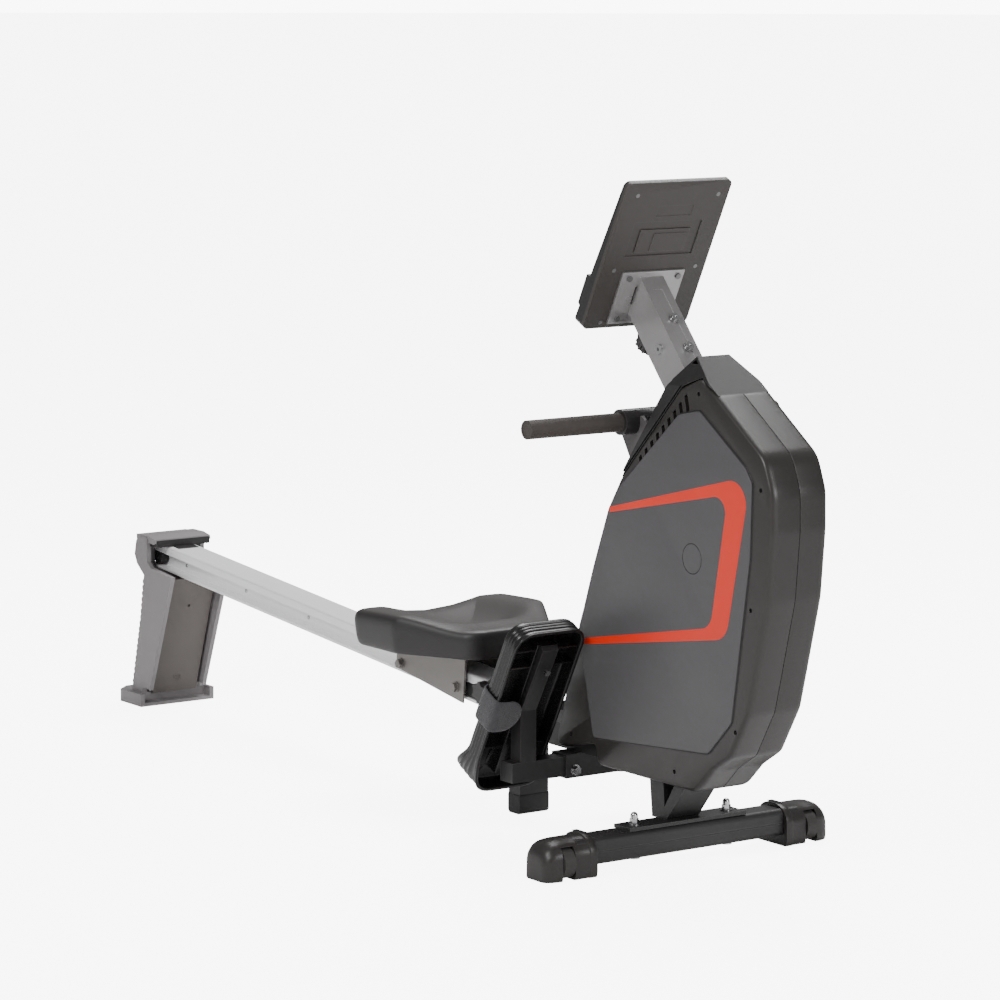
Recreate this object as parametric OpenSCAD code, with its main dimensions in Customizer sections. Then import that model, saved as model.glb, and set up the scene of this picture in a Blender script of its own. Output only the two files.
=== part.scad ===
// Folding magnetic rowing machine with an aluminium rail.
// +X points to the flywheel end, +Y is the left hand side of a rower on the seat,
// +Z is up. The origin lies on the floor under the middle of the whole machine.

/* [Overall] */
// Length of the whole machine, housing nose to rear foot
total_len = 1830; // [1820:1:1850]
// Width of the front stabiliser with its end caps
total_wid = 520; // [500:2:560]

/* [Housing] */
// Half width of the housing shell
shell_half = 50; // [50:1:54]
// Wall thickness of the plastic shells
shell_t = 3; // [2.5:0.5:3.5]
// Thickness of the side cover panels
cover_t = 3; // [2:0.5:4]

/* [Drive] */
// Radius of the flywheel
fly_r = 118; // [105:1:120]
// Thickness of the flywheel rim
fly_t = 16; // [14:1:16]
// Radius of the large drive pulley
pulley_r = 66; // [60:1:70]
// Radius of the small flywheel pulley
pinion_r = 20; // [18:1:22]
// Radius of the strap reel with its strap wound on
reel_r = 30; // [26:1:32]

/* [Rail] */
// Width of the aluminium rail
rail_w = 56; // [54:1:58]
// Height of the aluminium rail
rail_h = 46; // [44:1:48]
// Slope of the rail, rear end high, in degrees
rail_slope = 5; // [4.5:0.1:5.5]
// Radius of the seat rollers
roller_r = 12.2; // [11:0.1:12.4]

/* [Seat] */
// Width of the seat
seat_w = 290; // [270:2:300]
// Length of the seat
seat_l = 258; // [240:2:264]

/* [Handle] */
// Length of the handlebar over its end caps
bar_len = 454; // [440:2:480]
// Outer radius of the foam grips
grip_r = 14; // [13:0.5:16]

/* [Footrests] */
// Distance of each footrest's middle from the centre plane
foot_y = 126; // [124:1:130]
// Width of each footplate
foot_w = 122; // [110:1:124]
// Length of each footplate
foot_l = 296; // [290:1:300]

/* [Console] */
// Width of the console
con_w = 190; // [180:2:200]
// Height of the console along its face
con_h = 244; // [240:2:252]
// Thickness of the console at its lower edge, both shells
con_t = 24; // [22:1:28]
// Lean of the console's face from the vertical, in degrees
con_lean = 27; // [25:0.5:29]
// Lean of the console post from the vertical, in degrees
post_lean = 41; // [40:0.5:42]

/* [Hidden] */
$fn = 48;

// Housing side outline without the top cap, as [x, z] from the rear bottom corner
nose_x = total_len / 2;
cap_low = [566, 577];
cap_high = [712, 750];
cap_nose = [784, 701];
shell_line = [
    [392, 128], [498, 152], [500, 120], [742, 120], [781, 158], [822, 184], [863, 254],
    [878, 311], [906, 421], [nose_x, 520], [nose_x - 1, 575], [895, 624], [784, 701], [742, 722],
    [700, 706], [556, 560], [528, 518], [489, 419], [454, 333]
];
cap_line = [
    [556, 560.6], [700, 706.6], [742, 722.6], cap_nose, [712, 750], [664, 703], [566, 577]
];
cover_line = [
    [497, 162], [776, 184], [829, 237], [841, 311], [868, 479], [871, 586], [855, 607],
    [748, 677], [700, 667], [560, 548], [532, 512], [494, 419], [462, 330], [464, 294]
];
// Main frame levels
beam_half = 30;
beam_z0 = 126;
beam_z1 = 164;
wall = 2.5;
leg_x0 = 241;
leg_x1 = 271;
beam_x0 = 284;
// Stabiliser
stab_x = 668;
stab_z0 = 15;
stab_z1 = 56;
stab_d = 48;
cap_len = 86;
saddle_y = 0;
saddle_pitch = 170;
wheel_r = 23;
wheel_w = 19;
wheel_y = 223;
wheel_x = 656;
wheel_z = 25;
// Drive centres, as [x, z]
fly_c = [735, 462];
fly_y = -22;
reel_c = [640, 262];
guide_c = [648, 623];
plate_y0 = 36;
plate_t = 4;
// Rail frame: the rail turns about the pivot
pivot_x = 238;
pivot_h = 12;
rail_x0 = -1108;
rail_x1 = -60;
rail_base = 170;
channel_z0 = 6;
channel_z1 = 31;
channel_d = 17;
carr_front = -130;
carr_rear = -288;
bumper_x = -86;
knob_at = [-34, 36];
knob_slot = 84;
roller_z = (channel_z0 + channel_z1) / 2;
bumper_r = 11;
// Cross tube
cross_x1 = 434;
cross_s = 32;
cross_z1 = 125;
// Handle
bar_x = 570;
bar_z = 643;
// Console post: a point on its axis
post_pt = [548, 827];
post_d = 58;
post_w = 42;
post_t = 2;

// Cylinder along Y from y0 to y1, centred on [x, z]
module rod_y(c, y0, y1, r) {
    translate([c[0], y1, c[1]]) rotate([90, 0, 0]) cylinder(h = y1 - y0, r = r);
}
// Ring along Y
module ring_y(c, y0, y1, ro, ri) {
    difference() {
        rod_y(c, y0, y1, ro);
        rod_y(c, y0 - 1, y1 + 1, ri);
    }
}
// Block between two corners
module block(a, b) {
    translate(a) cube([b[0] - a[0], b[1] - a[1], b[2] - a[2]]);
}
// An [x, z] outline spread from y0 to y1
module slab_y(pts, y0, y1) {
    translate([0, y1, 0]) rotate([90, 0, 0]) linear_extrude(y1 - y0) polygon(pts);
}
// Outline moved inwards by t, for a counter-clockwise list of points
function unit(v) = v / norm(v);
function left_of(v) = [-v[1], v[0]];
function inset(p, t) = [
    for (i = [0 : len(p) - 1])
        let (
            a = p[(i + len(p) - 1) % len(p)],
            c = p[(i + 1) % len(p)],
            n1 = left_of(unit(p[i] - a)),
            n2 = left_of(unit(c - p[i]))
        )
        p[i] + t * (n1 + n2) / (1 + n1 * n2)
];
// Both sides: the children and their mirror image across the centre plane
module both_sides() {
    children();
    mirror([0, 1, 0]) children();
}
// Places children in the rail's frame: x along the rail to the front, z square to it,
// with the origin on the rail's underside above x = pivot_x
module on_rail() {
    translate([pivot_x, 0, rail_base - 23]) rotate([0, rail_slope, 0]) children();
}
// Places children in the post's frame: z along the post's axis, x to its front
module on_post() {
    translate([post_pt[0], 0, post_pt[1]]) rotate([0, -post_lean, 0]) children();
}
// Places children on the console's back face: x points out of its back,
// z runs up its face and the origin is the middle of the top edge
module on_console() {
    translate([635, 0, 998]) rotate([0, con_lean, 0]) children();
}
// Cap-head bolt standing on z = 0, shank below
module bolt_z(r, l, head_r, head_h) {
    translate([0, 0, -l]) cylinder(h = l + 0.1, r = r);
    difference() {
        cylinder(h = head_h, r = head_r);
        translate([0, 0, head_h * 0.4]) cylinder(h = head_h, r = head_r * 0.45, $fn = 6);
    }
}

// Welded steel frame: beam, centre leg, two struts and the post socket
module main_frame() {
    color("#232324") {
        difference() {
            block([beam_x0, -beam_half, beam_z0], [640, beam_half, beam_z1]);
            block([beam_x0 + wall, -beam_half + wall, beam_z0 + wall],
                  [640 - wall, beam_half - wall, beam_z1 - wall]);
        }
        block([leg_x0, -27, 118], [beam_x0 + 30, 27, 130]);
        difference() {
            block([leg_x0, -27, 22], [leg_x1, 27, 118.1]);
            block([leg_x0 + wall, -27 + wall, 21], [leg_x1 - wall, 27 - wall, 115]);
        }
        slab_y([[614, 61.3], [646, 61.3], [640, beam_z0 + 1], [607, beam_z0 + 1]], -beam_half, beam_half);
        slab_y([[632, 61.3], [648, 61.3], [732, 164], [699, 164]], -beam_half, beam_half);
        slab_y([[638, beam_z1 - 8], [726, beam_z1 - 8], [732, beam_z1], [638, beam_z1]],
               -beam_half, beam_half);
        both_sides() hinge_ear();
        post_spigot();
        saddle();
        cross_socket();
    }
}
// Ear welded beside the beam's rear end, with the fold pivot's bore and the lock hole
module hinge_ear() {
    p = pivot_point();
    difference() {
        union() {
            slab_y([[beam_x0 + 2, 128], [330, 128], [330, 163], [300, 178], [p[0] + 20, 150],
                    [p[0] - 4, 139]], 35.6, 40.6);
            rod_y(p, 35.6, 40.6, 55);
        }
        rod_y(p, 34, 42, 6.05);
        slab_y([[p[0] - 90, 80], [p[0] + 34, 80], [p[0] + 34, 128], [p[0] - 25, 128],
                [p[0] - 25, 150], [p[0] - 90, 172]], 34, 42);
        knob_track(5.3);
    }
    block([beam_x0 + 4, 29.9, 130], [330, 35.7, 160]);
}
// World position of the fold pivot, as [x, z]
function pivot_point() = [
    pivot_x + pivot_h * sin(rail_slope), rail_base - 23 + pivot_h * cos(rail_slope)
];
// Curved slot that the fold knob's bolt follows while the rail swings up
module knob_track(r) {
    p = pivot_point();
    d = norm([knob_at[0], knob_at[1] - pivot_h]);
    a0 = atan2(knob_at[1] - pivot_h, knob_at[0]) - rail_slope;
    translate([p[0], 42, p[1]]) rotate([90, 0, 0]) linear_extrude(8) {
        polygon(concat(arc([0, 0], d + r, a0, a0 - knob_slot, 30),
                       arc([0, 0], d - r, a0 - knob_slot, a0, 30)));
        for (a = [a0, a0 - knob_slot]) translate([d * cos(a), d * sin(a)]) circle(r = r);
    }
}
// Inner tube that the console post slides over
module post_spigot() {
    on_post() difference() {
        translate([-post_d / 2 + 3, -post_w / 2 + 3, -190]) cube([post_d - 6, post_w - 6, 150]);
        translate([-post_d / 2 + 6, -post_w / 2 + 6, -191]) cube([post_d - 12, post_w - 12, 152]);
        for (z = bolt_rows) translate([0, 3, z]) rotate([0, 90, 0]) cylinder(h = 60, r = 3.3);
        translate([0, -40, -100]) rotate([-90, 0, 0]) cylinder(h = 80, r = 3.3);
    }
}
// Pair of flat plates that carry the axles and the post socket inside the housing
module mast_plates() {
    color("#2c2d2f") both_sides() difference() {
        union() {
            slab_y([[600, 168], [724, 168], [776, 420], [776, 500], [700, 664], [640, 664],
                    [604, 620], [694, 480], [690, 400], [604, 290]], plate_y0 - 5, plate_y0 - 1);
            slab_y([[612, 160], [690, 160], [690, 180], [612, 180]], beam_half + 0.02, plate_y0 - 1);
            block([612, beam_half - 12, beam_z1], [690, plate_y0 - 1, 180]);
        }
        rod_y(fly_c, 0, 60, 6.04);
        rod_y(reel_c, 0, 60, 6.04);
        rod_y(guide_c, 0, 60, 5.04);
        rod_y([790, 590], 0, 60, 4.0);
    }
}
// Square cross socket under the beam that takes the footrest tube
module cross_socket() {
    x0 = cross_x1 - cross_s - 3.4;
    x1 = cross_x1 + 3.4;
    difference() {
        block([x0, -58, cross_z1 - cross_s - 3.4], [x1, 58, cross_z1 + 1.1]);
        block([x0 + 3, -59, cross_z1 - cross_s - 0.4], [x1 - 3, 59, cross_z1 - 1.9]);
        for (y = [-42, 42]) translate([x0 - 1, y, 101]) rotate([0, 90, 0]) cylinder(h = 60, r = 4.05);
    }
}
// Stabiliser tube: rounded rectangular steel tube with a pressed line on its front
module stab_section(grow) {
    r = 9 + grow;
    for (x = [-stab_d + 9, -9], z = [stab_z0 + 9, stab_z1 - 9])
        translate([x, z]) circle(r = r);
    translate([-stab_d - grow, stab_z0 + 9]) square([stab_d + 2 * grow, stab_z1 - stab_z0 - 18]);
    translate([-stab_d + 9, stab_z0 - grow]) square([stab_d - 18, stab_z1 - stab_z0 + 2 * grow]);
}
module stabiliser_tube() {
    half = total_wid / 2 - 56;
    color("#29292b") difference() {
        translate([stab_x, half, 0]) rotate([90, 0, 0]) linear_extrude(2 * half) stab_section(0);
        translate([stab_x, half + 1, 0]) rotate([90, 0, 0]) linear_extrude(2 * half + 2)
            stab_section(-2.5);
        block([stab_x - 0.8, -half - 1, 34], [stab_x + 1, half + 1, 36]);
        for (s = [-1, 1]) translate([stab_x - 24, saddle_y + s * saddle_pitch / 2, 10])
            cylinder(h = 60, r = 4.05);
    }
}
// Plate welded under the struts and bolted on the stabiliser
module saddle() {
    difference() {
        block([stab_x - 44, saddle_y - 107, stab_z1 + 0.05], [stab_x - 4, saddle_y + 107, 61.4]);
        for (s = [-1, 1]) translate([stab_x - 24, saddle_y + s * saddle_pitch / 2, 50])
            cylinder(h = 30, r = 4.05);
    }
}
// Two carriage bolts with washers and acorn nuts
module stabiliser_bolts() {
    color("#d6d8da") for (s = [-1, 1])
        translate([stab_x - 24, saddle_y + s * saddle_pitch / 2, 0]) {
            translate([0, 0, 14]) cylinder(h = 52, r = 4);
            translate([0, 0, 11]) cylinder(h = 3.95, r = 9);
            translate([0, 0, 61.45]) cylinder(h = 1.8, r = 9);
            translate([0, 0, 63.2]) cylinder(h = 7, r = 7, $fn = 6);
            translate([0, 0, 70]) cylinder(h = 5, r = 5.6);
            translate([0, 0, 74.6]) sphere(r = 5.6);
        }
}
// End cap at the right hand (-Y) end, moulded, with a slot for the wheel
module stabiliser_cap() {
    y0 = -total_wid / 2;
    color("#1b1b1c") difference() {
        union() {
            slab_y([[605, 0], [674, 0], [678, 8], [676, 38], [666, 51], [650, 59], [630, 60],
                    [613, 54], [606, 42]], y0 + 22, y0 + cap_len - 12);
            slab_y([[608, 0], [671, 0], [675, 8], [673, 36], [662, 48], [648, 55], [631, 56],
                    [615, 50], [609, 38]], y0 + 9, y0 + 22);
            slab_y([[612, 0], [667, 0], [670, 8], [668, 32], [658, 42], [646, 48], [633, 49],
                    [619, 43], [613, 34]], y0, y0 + 9);
            slab_y([[608, 2], [674, 2], [677, 10], [677, 44], [668, 58], [654, 62.5], [632, 63],
                    [616, 59], [607, 46]], y0 + cap_len - 12, y0 + cap_len);
        }
        translate([stab_x, y0 + cap_len + 1, 0]) rotate([90, 0, 0])
            linear_extrude(cap_len - 54) stab_section(0.05);
        block([wheel_x - wheel_r - 1.6, -wheel_y - wheel_w / 2 - 1.5, -1],
              [stab_x + 20, -wheel_y + wheel_w / 2 + 1.5, wheel_z + wheel_r + 1.6]);
        rod_y([wheel_x, wheel_z], -wheel_y - 22, -wheel_y + 22, 3.06);
    }
}
module stabiliser_cap_right() {
    stabiliser_cap();
}
module stabiliser_cap_left() {
    mirror([0, 1, 0]) stabiliser_cap();
}
// Transport wheel with a flat tread and a stepped hub
module transport_wheel() {
    color("#3b3a3b") difference() {
        union() {
            rod_y([wheel_x, wheel_z], -wheel_y - wheel_w / 2, -wheel_y + wheel_w / 2, wheel_r);
        }
        for (s = [-1, 1]) ring_y([wheel_x, wheel_z], -wheel_y + s * (wheel_w / 2) - 3,
                                 -wheel_y + s * (wheel_w / 2) + 3, wheel_r - 5, 8);
        rod_y([wheel_x, wheel_z], -wheel_y - 20, -wheel_y + 20, 3.1);
    }
}
module transport_wheel_right() {
    transport_wheel();
}
module transport_wheel_left() {
    mirror([0, 1, 0]) transport_wheel();
}
module wheel_axles() {
    color("silver") both_sides() rod_y([wheel_x, wheel_z], -wheel_y - 22, -wheel_y + 22, 3);
}
// Plastic cap that the centre leg stands on
module centre_foot() {
    color("#161617") difference() {
        slab_y([[leg_x0 - 1, 4], [leg_x0 + 3, 0], [leg_x1 - 3, 0], [leg_x1 + 1, 4],
                [leg_x1 + 1, 30], [leg_x0 - 1, 30]], -28, 28);
        block([leg_x0 - 0.05, -27.05, 22], [leg_x1 + 0.05, 27.05, 40]);
    }
}

// One housing half, made for the -Y side: stepped edges, hollow, open where the frame passes
module shell_half_body() {
    difference() {
        union() {
            slab_y(shell_line, -shell_half + 8, -0.1);
            slab_y(inset(shell_line, 1.2), -shell_half + 4, -shell_half + 8.01);
            slab_y(inset(shell_line, 3.5), -shell_half + 1.5, -shell_half + 4.01);
            slab_y(inset(shell_line, 6.5), -shell_half, -shell_half + 1.51);
        }
        slab_y(inset(shell_line, shell_t), -shell_half + 9, 1);
        slab_y(inset(shell_line, shell_t + 6.5), -shell_half + shell_t, -shell_half + 9.01);
        // open underside for the beam, the socket and the struts
        block([380, -shell_half + shell_t + 6, 80], [736, 1, 150]);
        block([380, -shell_half + shell_t + 6, 80], [505, 1, 170]);
        // open top under the cap
        slab_y([[560, 540], [575, 545], [700, 675], [742, 690], [775, 670], [790, 720],
                [700, 740], [540, 600]], -shell_half + shell_t + 6, 1);
        // screw holes
        for (p = shell_holes()) rod_y(p, -shell_half - 1, -shell_half + 7, 3.4);
        // louvres
        for (i = [0 : 8]) {
            x = 604 + 14 * i;
            z = 590 + 11 * i;
            h = 6 + 1.7 * i;
            slab_y([[x, z - h * 0.4], [x + 7, z - h * 0.4 + 5], [x + 7 - h * 0.3, z + h * 0.8 + 5],
                    [x - h * 0.3, z + h * 0.8]], -shell_half - 1, -shell_half + 5);
        }
    }
}
function shell_holes() = [
    [744, 700], [888, 578], [868, 405], [836, 225], [694, 144], [437, 157]
];
module housing_right() {
    color("#1d1d1e") shell_half_body();
}
module housing_left() {
    color("#1d1d1e") mirror([0, 1, 0]) shell_half_body();
}
// Cap over the sloping top: the post and the pull strap come through it
module housing_top_cap() {
    color("#2a2a2c") difference() {
        intersection() {
            union() {
                slab_y(cap_line, -shell_half + 4, shell_half - 4);
                slab_y(inset(cap_line, 1.2), -shell_half, shell_half);
            }
            translate([500, 0, 0]) rotate([90, 0, 90]) linear_extrude(320) polygon([
                [-50.6, 540], [50.6, 540], [50.6, 706], [27, 754], [-27, 754], [-50.6, 706]
            ]);
        }
        slab_y([[540, 520], [566, 572], [664, 699], [712, 746], [782, 699], [760, 660], [700, 600]],
               -shell_half + 16, shell_half - 16);
        slab_y([[540, 520], [566, 572], [640, 668], [700, 696], [745, 690], [760, 660], [700, 600]],
               -shell_half + 8, shell_half - 8);
        on_post() translate([-post_d / 2 - 0.6, -post_w / 2 - 0.6, -260])
            cube([post_d + 1.2, post_w + 1.2, 260]);
        block([560, -16, 632.6], [660, 16, 649]);
    }
}
// Flat outer panel let into each side of the housing
module side_cover() {
    y = -shell_half - cover_t;
    color("#6c6c70") difference() {
        slab_y(cover_line, y, -shell_half - 0.02);
        slab_y(stripe_line(), y - 1, y + 1.2);
        ring_y(fly_c, y - 1, y + 0.9, 22.6, 21.4);
    }
}
module side_cover_right() {
    side_cover();
}
module side_cover_left() {
    mirror([0, 1, 0]) side_cover();
}
// Outline of the red inlay: a tapering band that turns two rounded corners
function arc(c, r, a0, a1, n) = [
    for (i = [0 : n]) let (a = a0 + (a1 - a0) * i / n) c + r * [cos(a), sin(a)]
];
function stripe_line() = concat(
    [[468, 299]],
    arc([788, 386], 34, -80, -10, 6),
    arc([826, 552], 33, -5, 105, 8),
    [[536, 514], [536, 506]],
    arc([790, 536], 22, 100, 0, 6),
    arc([756, 392], 28, -10, -80, 5),
    [[466, 308]]
);
module red_stripes() {
    color("#e8402a") both_sides()
        slab_y(stripe_line(), -shell_half - cover_t - 0.2, -shell_half - cover_t + 1.15);
}
// Self-tapping screws down in the housing holes, both sides
module housing_screws() {
    color("#3a3a3c") both_sides() for (p = shell_holes())
        rod_y(p, -shell_half + 2.6, -shell_half + 6.9, 3.3);
}

// Leaning rectangular tube that carries the console
module console_post() {
    color("#8c8c90") {
        on_post() difference() {
            translate([-post_d / 2, -post_w / 2, -176]) cube([post_d, post_w, 206]);
            translate([-post_d / 2 + post_t, -post_w / 2 + post_t, -177])
                cube([post_d - 2 * post_t, post_w - 2 * post_t, 230]);
            translate([post_d / 2 - 0.9, -8, -146]) cube([2, 16, 132]);
            for (z = bolt_rows) translate([0, 3, z]) rotate([0, 90, 0]) cylinder(h = 60, r = 3.3);
            translate([0, -40, -100]) rotate([-90, 0, 0]) cylinder(h = 80, r = 3.3);
            translate([0, 0, -1]) rotate([0, post_lean + con_lean - 90, 0])
                translate([-100, -40, 0]) cube([200, 80, 80]);
        }
        console_plate();
    }
}
bolt_rows = [-68, -120];
// All bolts that hold the post and the footrests to the frame
module frame_bolts() {
    post_bolts();
    footrest_bolts();
}
// Two bolts in the post's front face and one in each side
module post_bolts() {
    color("#d6d8da") on_post() {
        for (z = bolt_rows) translate([post_d / 2 + 0.05, 3, z]) rotate([0, 90, 0]) {
            cylinder(h = 1.6, r = 7.6);
            translate([0, 0, 1.5]) bolt_z(3.2, 14, 6.4, 5);
        }
        both_sides() translate([0, -post_w / 2, -100]) rotate([90, 0, 0]) bolt_z(3.2, 14, 7.2, 4);
    }
}
// Steel plate welded on top of the post and screwed to the console's back
module console_plate() {
    on_console() difference() {
        translate([0.05, -54, -240]) cube([3, 112, 87]);
        for (p = plate_holes) translate([-1, p[0], p[1]]) rotate([0, 90, 0]) cylinder(h = 8, r = 2.6);
        translate([-1, -24, -208]) cube([8, 6, 30]);
    }
}
plate_holes = [[-40, -163], [48, -163], [-40, -231], [48, -231]];
case_holes = [[-70, -25], [77, -28], [-70, -150], [78, -150], [-65, -239]];
// Rounded rectangle on the console's face, grown by g, spread from x0 to x1
module console_slab(x0, x1, g, r) {
    translate([x0, 0, -con_h / 2 - 4]) rotate([90, 0, 90]) linear_extrude(x1 - x0)
        rounded_rect(con_w / 2 + g, con_h / 2 + g, r);
}
module rounded_rect(a, b, r) {
    square([2 * a, 2 * b - 2 * r], center = true);
    square([2 * a - 2 * r, 2 * b], center = true);
    for (x = [-1, 1], y = [-1, 1]) translate([x * (a - r), y * (b - r)]) circle(r = r);
}
// Back shell of the console, with the battery compartment
module console_back() {
    color("#3a3836") on_console() difference() {
        console_slab(-5, 0, 0, 9);
        translate([0.5, 0, 0]) console_slab(-12, -3, -2.5, 7);
        translate([-1.6, -60, -127]) cube([3, 122, 57]);
        translate([-20, -45, -121]) cube([30, 90, 38]);
        translate([-0.5, -26, -61]) cube([3, 64, 17]);
        for (p = plate_holes) translate([-5, p[0], p[1]]) rotate([0, 90, 0]) cylinder(h = 8, r = 2);
        for (p = case_holes) translate([-1.2, p[0], p[1]]) rotate([0, 90, 0]) cylinder(h = 3, r = 3.6);
    }
}
// Case screws in their sinks and the four screws through the post's plate
module console_screws() {
    color("#d6d8da") on_console() {
        for (p = case_holes) translate([-1.15, p[0], p[1]]) rotate([0, 90, 0]) cylinder(h = 1, r = 3.4);
        for (p = plate_holes) {
            translate([-4.5, p[0], p[1]]) rotate([0, 90, 0]) cylinder(h = 8, r = 1.95);
            translate([3.1, p[0], p[1]]) rotate([0, 90, 0]) cylinder(h = 2.4, r = 4.6);
        }
    }
}
// Front shell with the display window, the button holes and the device ledge
module console_front() {
    color("#19191a") on_console() difference() {
        union() {
            intersection() {
                console_slab(-con_t - 2, -5.05, 0, 9);
                wedge(0);
            }
            ledge();
        }
        intersection() {
            console_slab(-con_t, -4, -3, 7);
            wedge(3);
        }
        window(5.4, 62, 30, 92);
        for (y = key_y) key_place(y) translate([0, 0, -9]) cylinder(h = 14, r = 8.4);
        translate([-con_t - 15, -79, -230]) cube([18.5, 158, 44 - 2]);
    }
}
key_y = [-44, 0, 44];
key_z = -208;
// Side profile of the front shell, thin at the top and thick below, cut back by t
module wedge(t) {
    slab_y([[-8.5 + t * 0.8, 0], [-3, 0], [-3, -252], [-con_t + t * 0.8, -252]], -100, 100);
}
// Opening in the sloping front face, from z1 up to z0 below the top edge
module window(depth, half, z0, z1) {
    translate([-con_t - 4, -half, -z1]) cube([con_t + 4 - depth, 2 * half, z1 - z0]);
}
// Puts a key's axis on the ledge's face, pointing at the rower
module key_place(y) {
    translate([-con_t - 16, y, key_z]) rotate([0, -90, 0]) children();
}
// Shelf across the lower part of the face that a phone or tablet stands on
module ledge() {
    difference() {
        slab_y([[-con_t + 8, -176], [-con_t - 18, -180], [-con_t - 18, -228], [-con_t + 4, -238]], -82, 82);
        translate([-con_t - 8, -76, -186]) cube([5, 152, 20]);
    }
}
module console_lens() {
    color("#0e1514") on_console() intersection() {
        translate([-con_t - 4, -61.8, -91.8]) cube([con_t, 123.6, 61.6]);
        slab_y([[-7.9, 0], [-6.2, 0], [-con_t + 2.3, -252], [-con_t + 0.6, -252]], -100, 100);
    }
}
module battery_door() {
    color("#33312f") on_console() {
        translate([-1.55, -44.8, -120.8]) cube([1.5, 89.6, 37.6]);
        translate([-0.06, -19, -120]) cube([0.8, 60, 30]);
    }
}
module batteries() {
    color("#b8a13c") on_console() for (z = [-97, -113]) {
        translate([-6.8, 22, z]) rotate([90, 0, 0]) cylinder(h = 43.5, r = 5);
        translate([-6.8, 23, z]) rotate([90, 0, 0]) cylinder(h = 2, r = 1.8);
    }
}
// Round key in the console's face
module key(y) {
    color("#8b2a22") on_console() key_place(y) {
        translate([0, 0, -6]) cylinder(h = 9.6, r = 8);
        translate([0, 0, -8]) cylinder(h = 2.2, r = 10);
    }
}
module button_left() {
    key(key_y[2]);
}
module button_middle() {
    key(key_y[1]);
}
module button_right() {
    key(key_y[0]);
}
// Resistance knob on the user's face of the post
module tension_knob() {
    color("#161617") on_post() translate([-post_d / 2 - 0.2, 0, -60]) rotate([0, -90, 0]) {
        cylinder(h = 5, r = 21);
        difference() {
            translate([0, 0, 5]) cylinder(h = 15, r = 17);
            for (a = [0 : 30 : 330]) rotate([0, 0, a]) translate([19, 0, 4]) cylinder(h = 20, r = 4);
        }
        translate([-2, 0, 19.9]) cube([14, 2, 1], center = false);
    }
}

// Cast flywheel with its small belt pulley and hub
module flywheel() {
    color("#8f9296") difference() {
        union() {
            ring_y(fly_c, fly_y - fly_t / 2, fly_y + fly_t / 2, fly_r, fly_r - 22);
            rod_y(fly_c, fly_y - fly_t / 2 + 5, fly_y + fly_t / 2 - 5, fly_r - 21);
            rod_y(fly_c, -30, 12, 26);
            rod_y(fly_c, 11.9, 14, pinion_r + 3);
            rod_y(fly_c, 13.9, 26, pinion_r);
            rod_y(fly_c, 25.9, 28, pinion_r + 3);
        }
        rod_y(fly_c, -40, 40, 6.06);
    }
}
module drive_axles() {
    color("silver") for (c = [fly_c, reel_c]) {
        rod_y(c, -shell_half + 6, shell_half - 6, 6);
        both_sides() ring_y(c, plate_y0 - 0.95, plate_y0 + 6, 10, 6.01);
    }
}
// Curved arm with brake magnets, turning about a pin near the flywheel's rim
module magnet_bracket() {
    color("#c9a23a") {
        difference() {
            union() {
                arm_arc(fly_r + 9, fly_r + 13, fly_y - 8.4, fly_y + 8.4, 24, 78);
                rod_y([790, 590], -30.6, 30.5, 7);
            }
            rod_y([790, 590], -40, 40, 4.06);
            ring_y(fly_c, -33, 33, fly_r + 4, fly_r - 40);
        }
        for (a = [34 : 12 : 70]) rotate_about(fly_c, a)
            translate([fly_r + 4.5, fly_y - 8, -7]) cube([4.7, 16, 14]);
        rod_y([790, 590], -34.9, 34.9, 3.95);
    }
}
module rotate_about(c, a) {
    translate([c[0], 0, c[1]]) rotate([0, -a, 0]) children();
}
module arm_arc(r0, r1, y0, y1, a0, a1) {
    translate([fly_c[0], y1, fly_c[1]]) rotate([90, 0, 0]) rotate([0, 0, a0])
        rotate_extrude(angle = a1 - a0) translate([r0, 0]) square([r1 - r0, y1 - y0]);
}
// Large pulley beside the reel
module drive_pulley() {
    color("#2b2b2d") difference() {
        union() {
            rod_y(reel_c, 16.5, 23.5, pulley_r);
            rod_y(reel_c, 14.8, 16.6, pulley_r + 3);
            rod_y(reel_c, 23.4, 25.2, pulley_r + 3);
            rod_y(reel_c, 14.8, 29, 16);
        }
        for (a = [0 : 60 : 300]) rotate_about(reel_c, a) rod_y([40, 0], 10, 30, 13);
        rod_y(reel_c, 0, 40, 6.06);
    }
}
// Poly-V belt, open loop round both pulleys: two arcs and two straight runs
belt_t = 2.4;
belt_gap = 0.3;
module drive_belt() {
    d = fly_c - reel_c;
    l = norm(d);
    a = atan2(d[1], d[0]);
    s = acos((pulley_r - pinion_r) / l);
    color("#101010") translate([0, 22.5, 0]) rotate([90, 0, 0]) linear_extrude(5) {
        belt_arc(reel_c, pulley_r + belt_gap, a + s, a + 360 - s);
        belt_arc(fly_c, pinion_r + belt_gap, a - s, a + s);
        for (k = [-1, 1]) belt_run(
            reel_c + (pulley_r + belt_gap) * [cos(a + k * s), sin(a + k * s)],
            fly_c + (pinion_r + belt_gap) * [cos(a + k * s), sin(a + k * s)], k);
    }
}
module belt_arc(c, r, a0, a1) {
    polygon(concat(arc(c, r, a0, a1, 28), arc(c, r + belt_t, a1, a0, 28)));
}
module belt_run(p, q, k) {
    n = k * left_of(unit(q - p)) * belt_t;
    polygon([p, q, q + n, p + n]);
}
// Reel that winds the pull strap
module strap_reel() {
    color("#3d3d40") difference() {
        union() {
            rod_y(reel_c, -13, 13, reel_r);
            rod_y(reel_c, -15, -13, reel_r + 9);
            rod_y(reel_c, 12.6, 14.4, reel_r + 9);
        }
        rod_y(reel_c, -20, 20, 6.06);
    }
}
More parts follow.
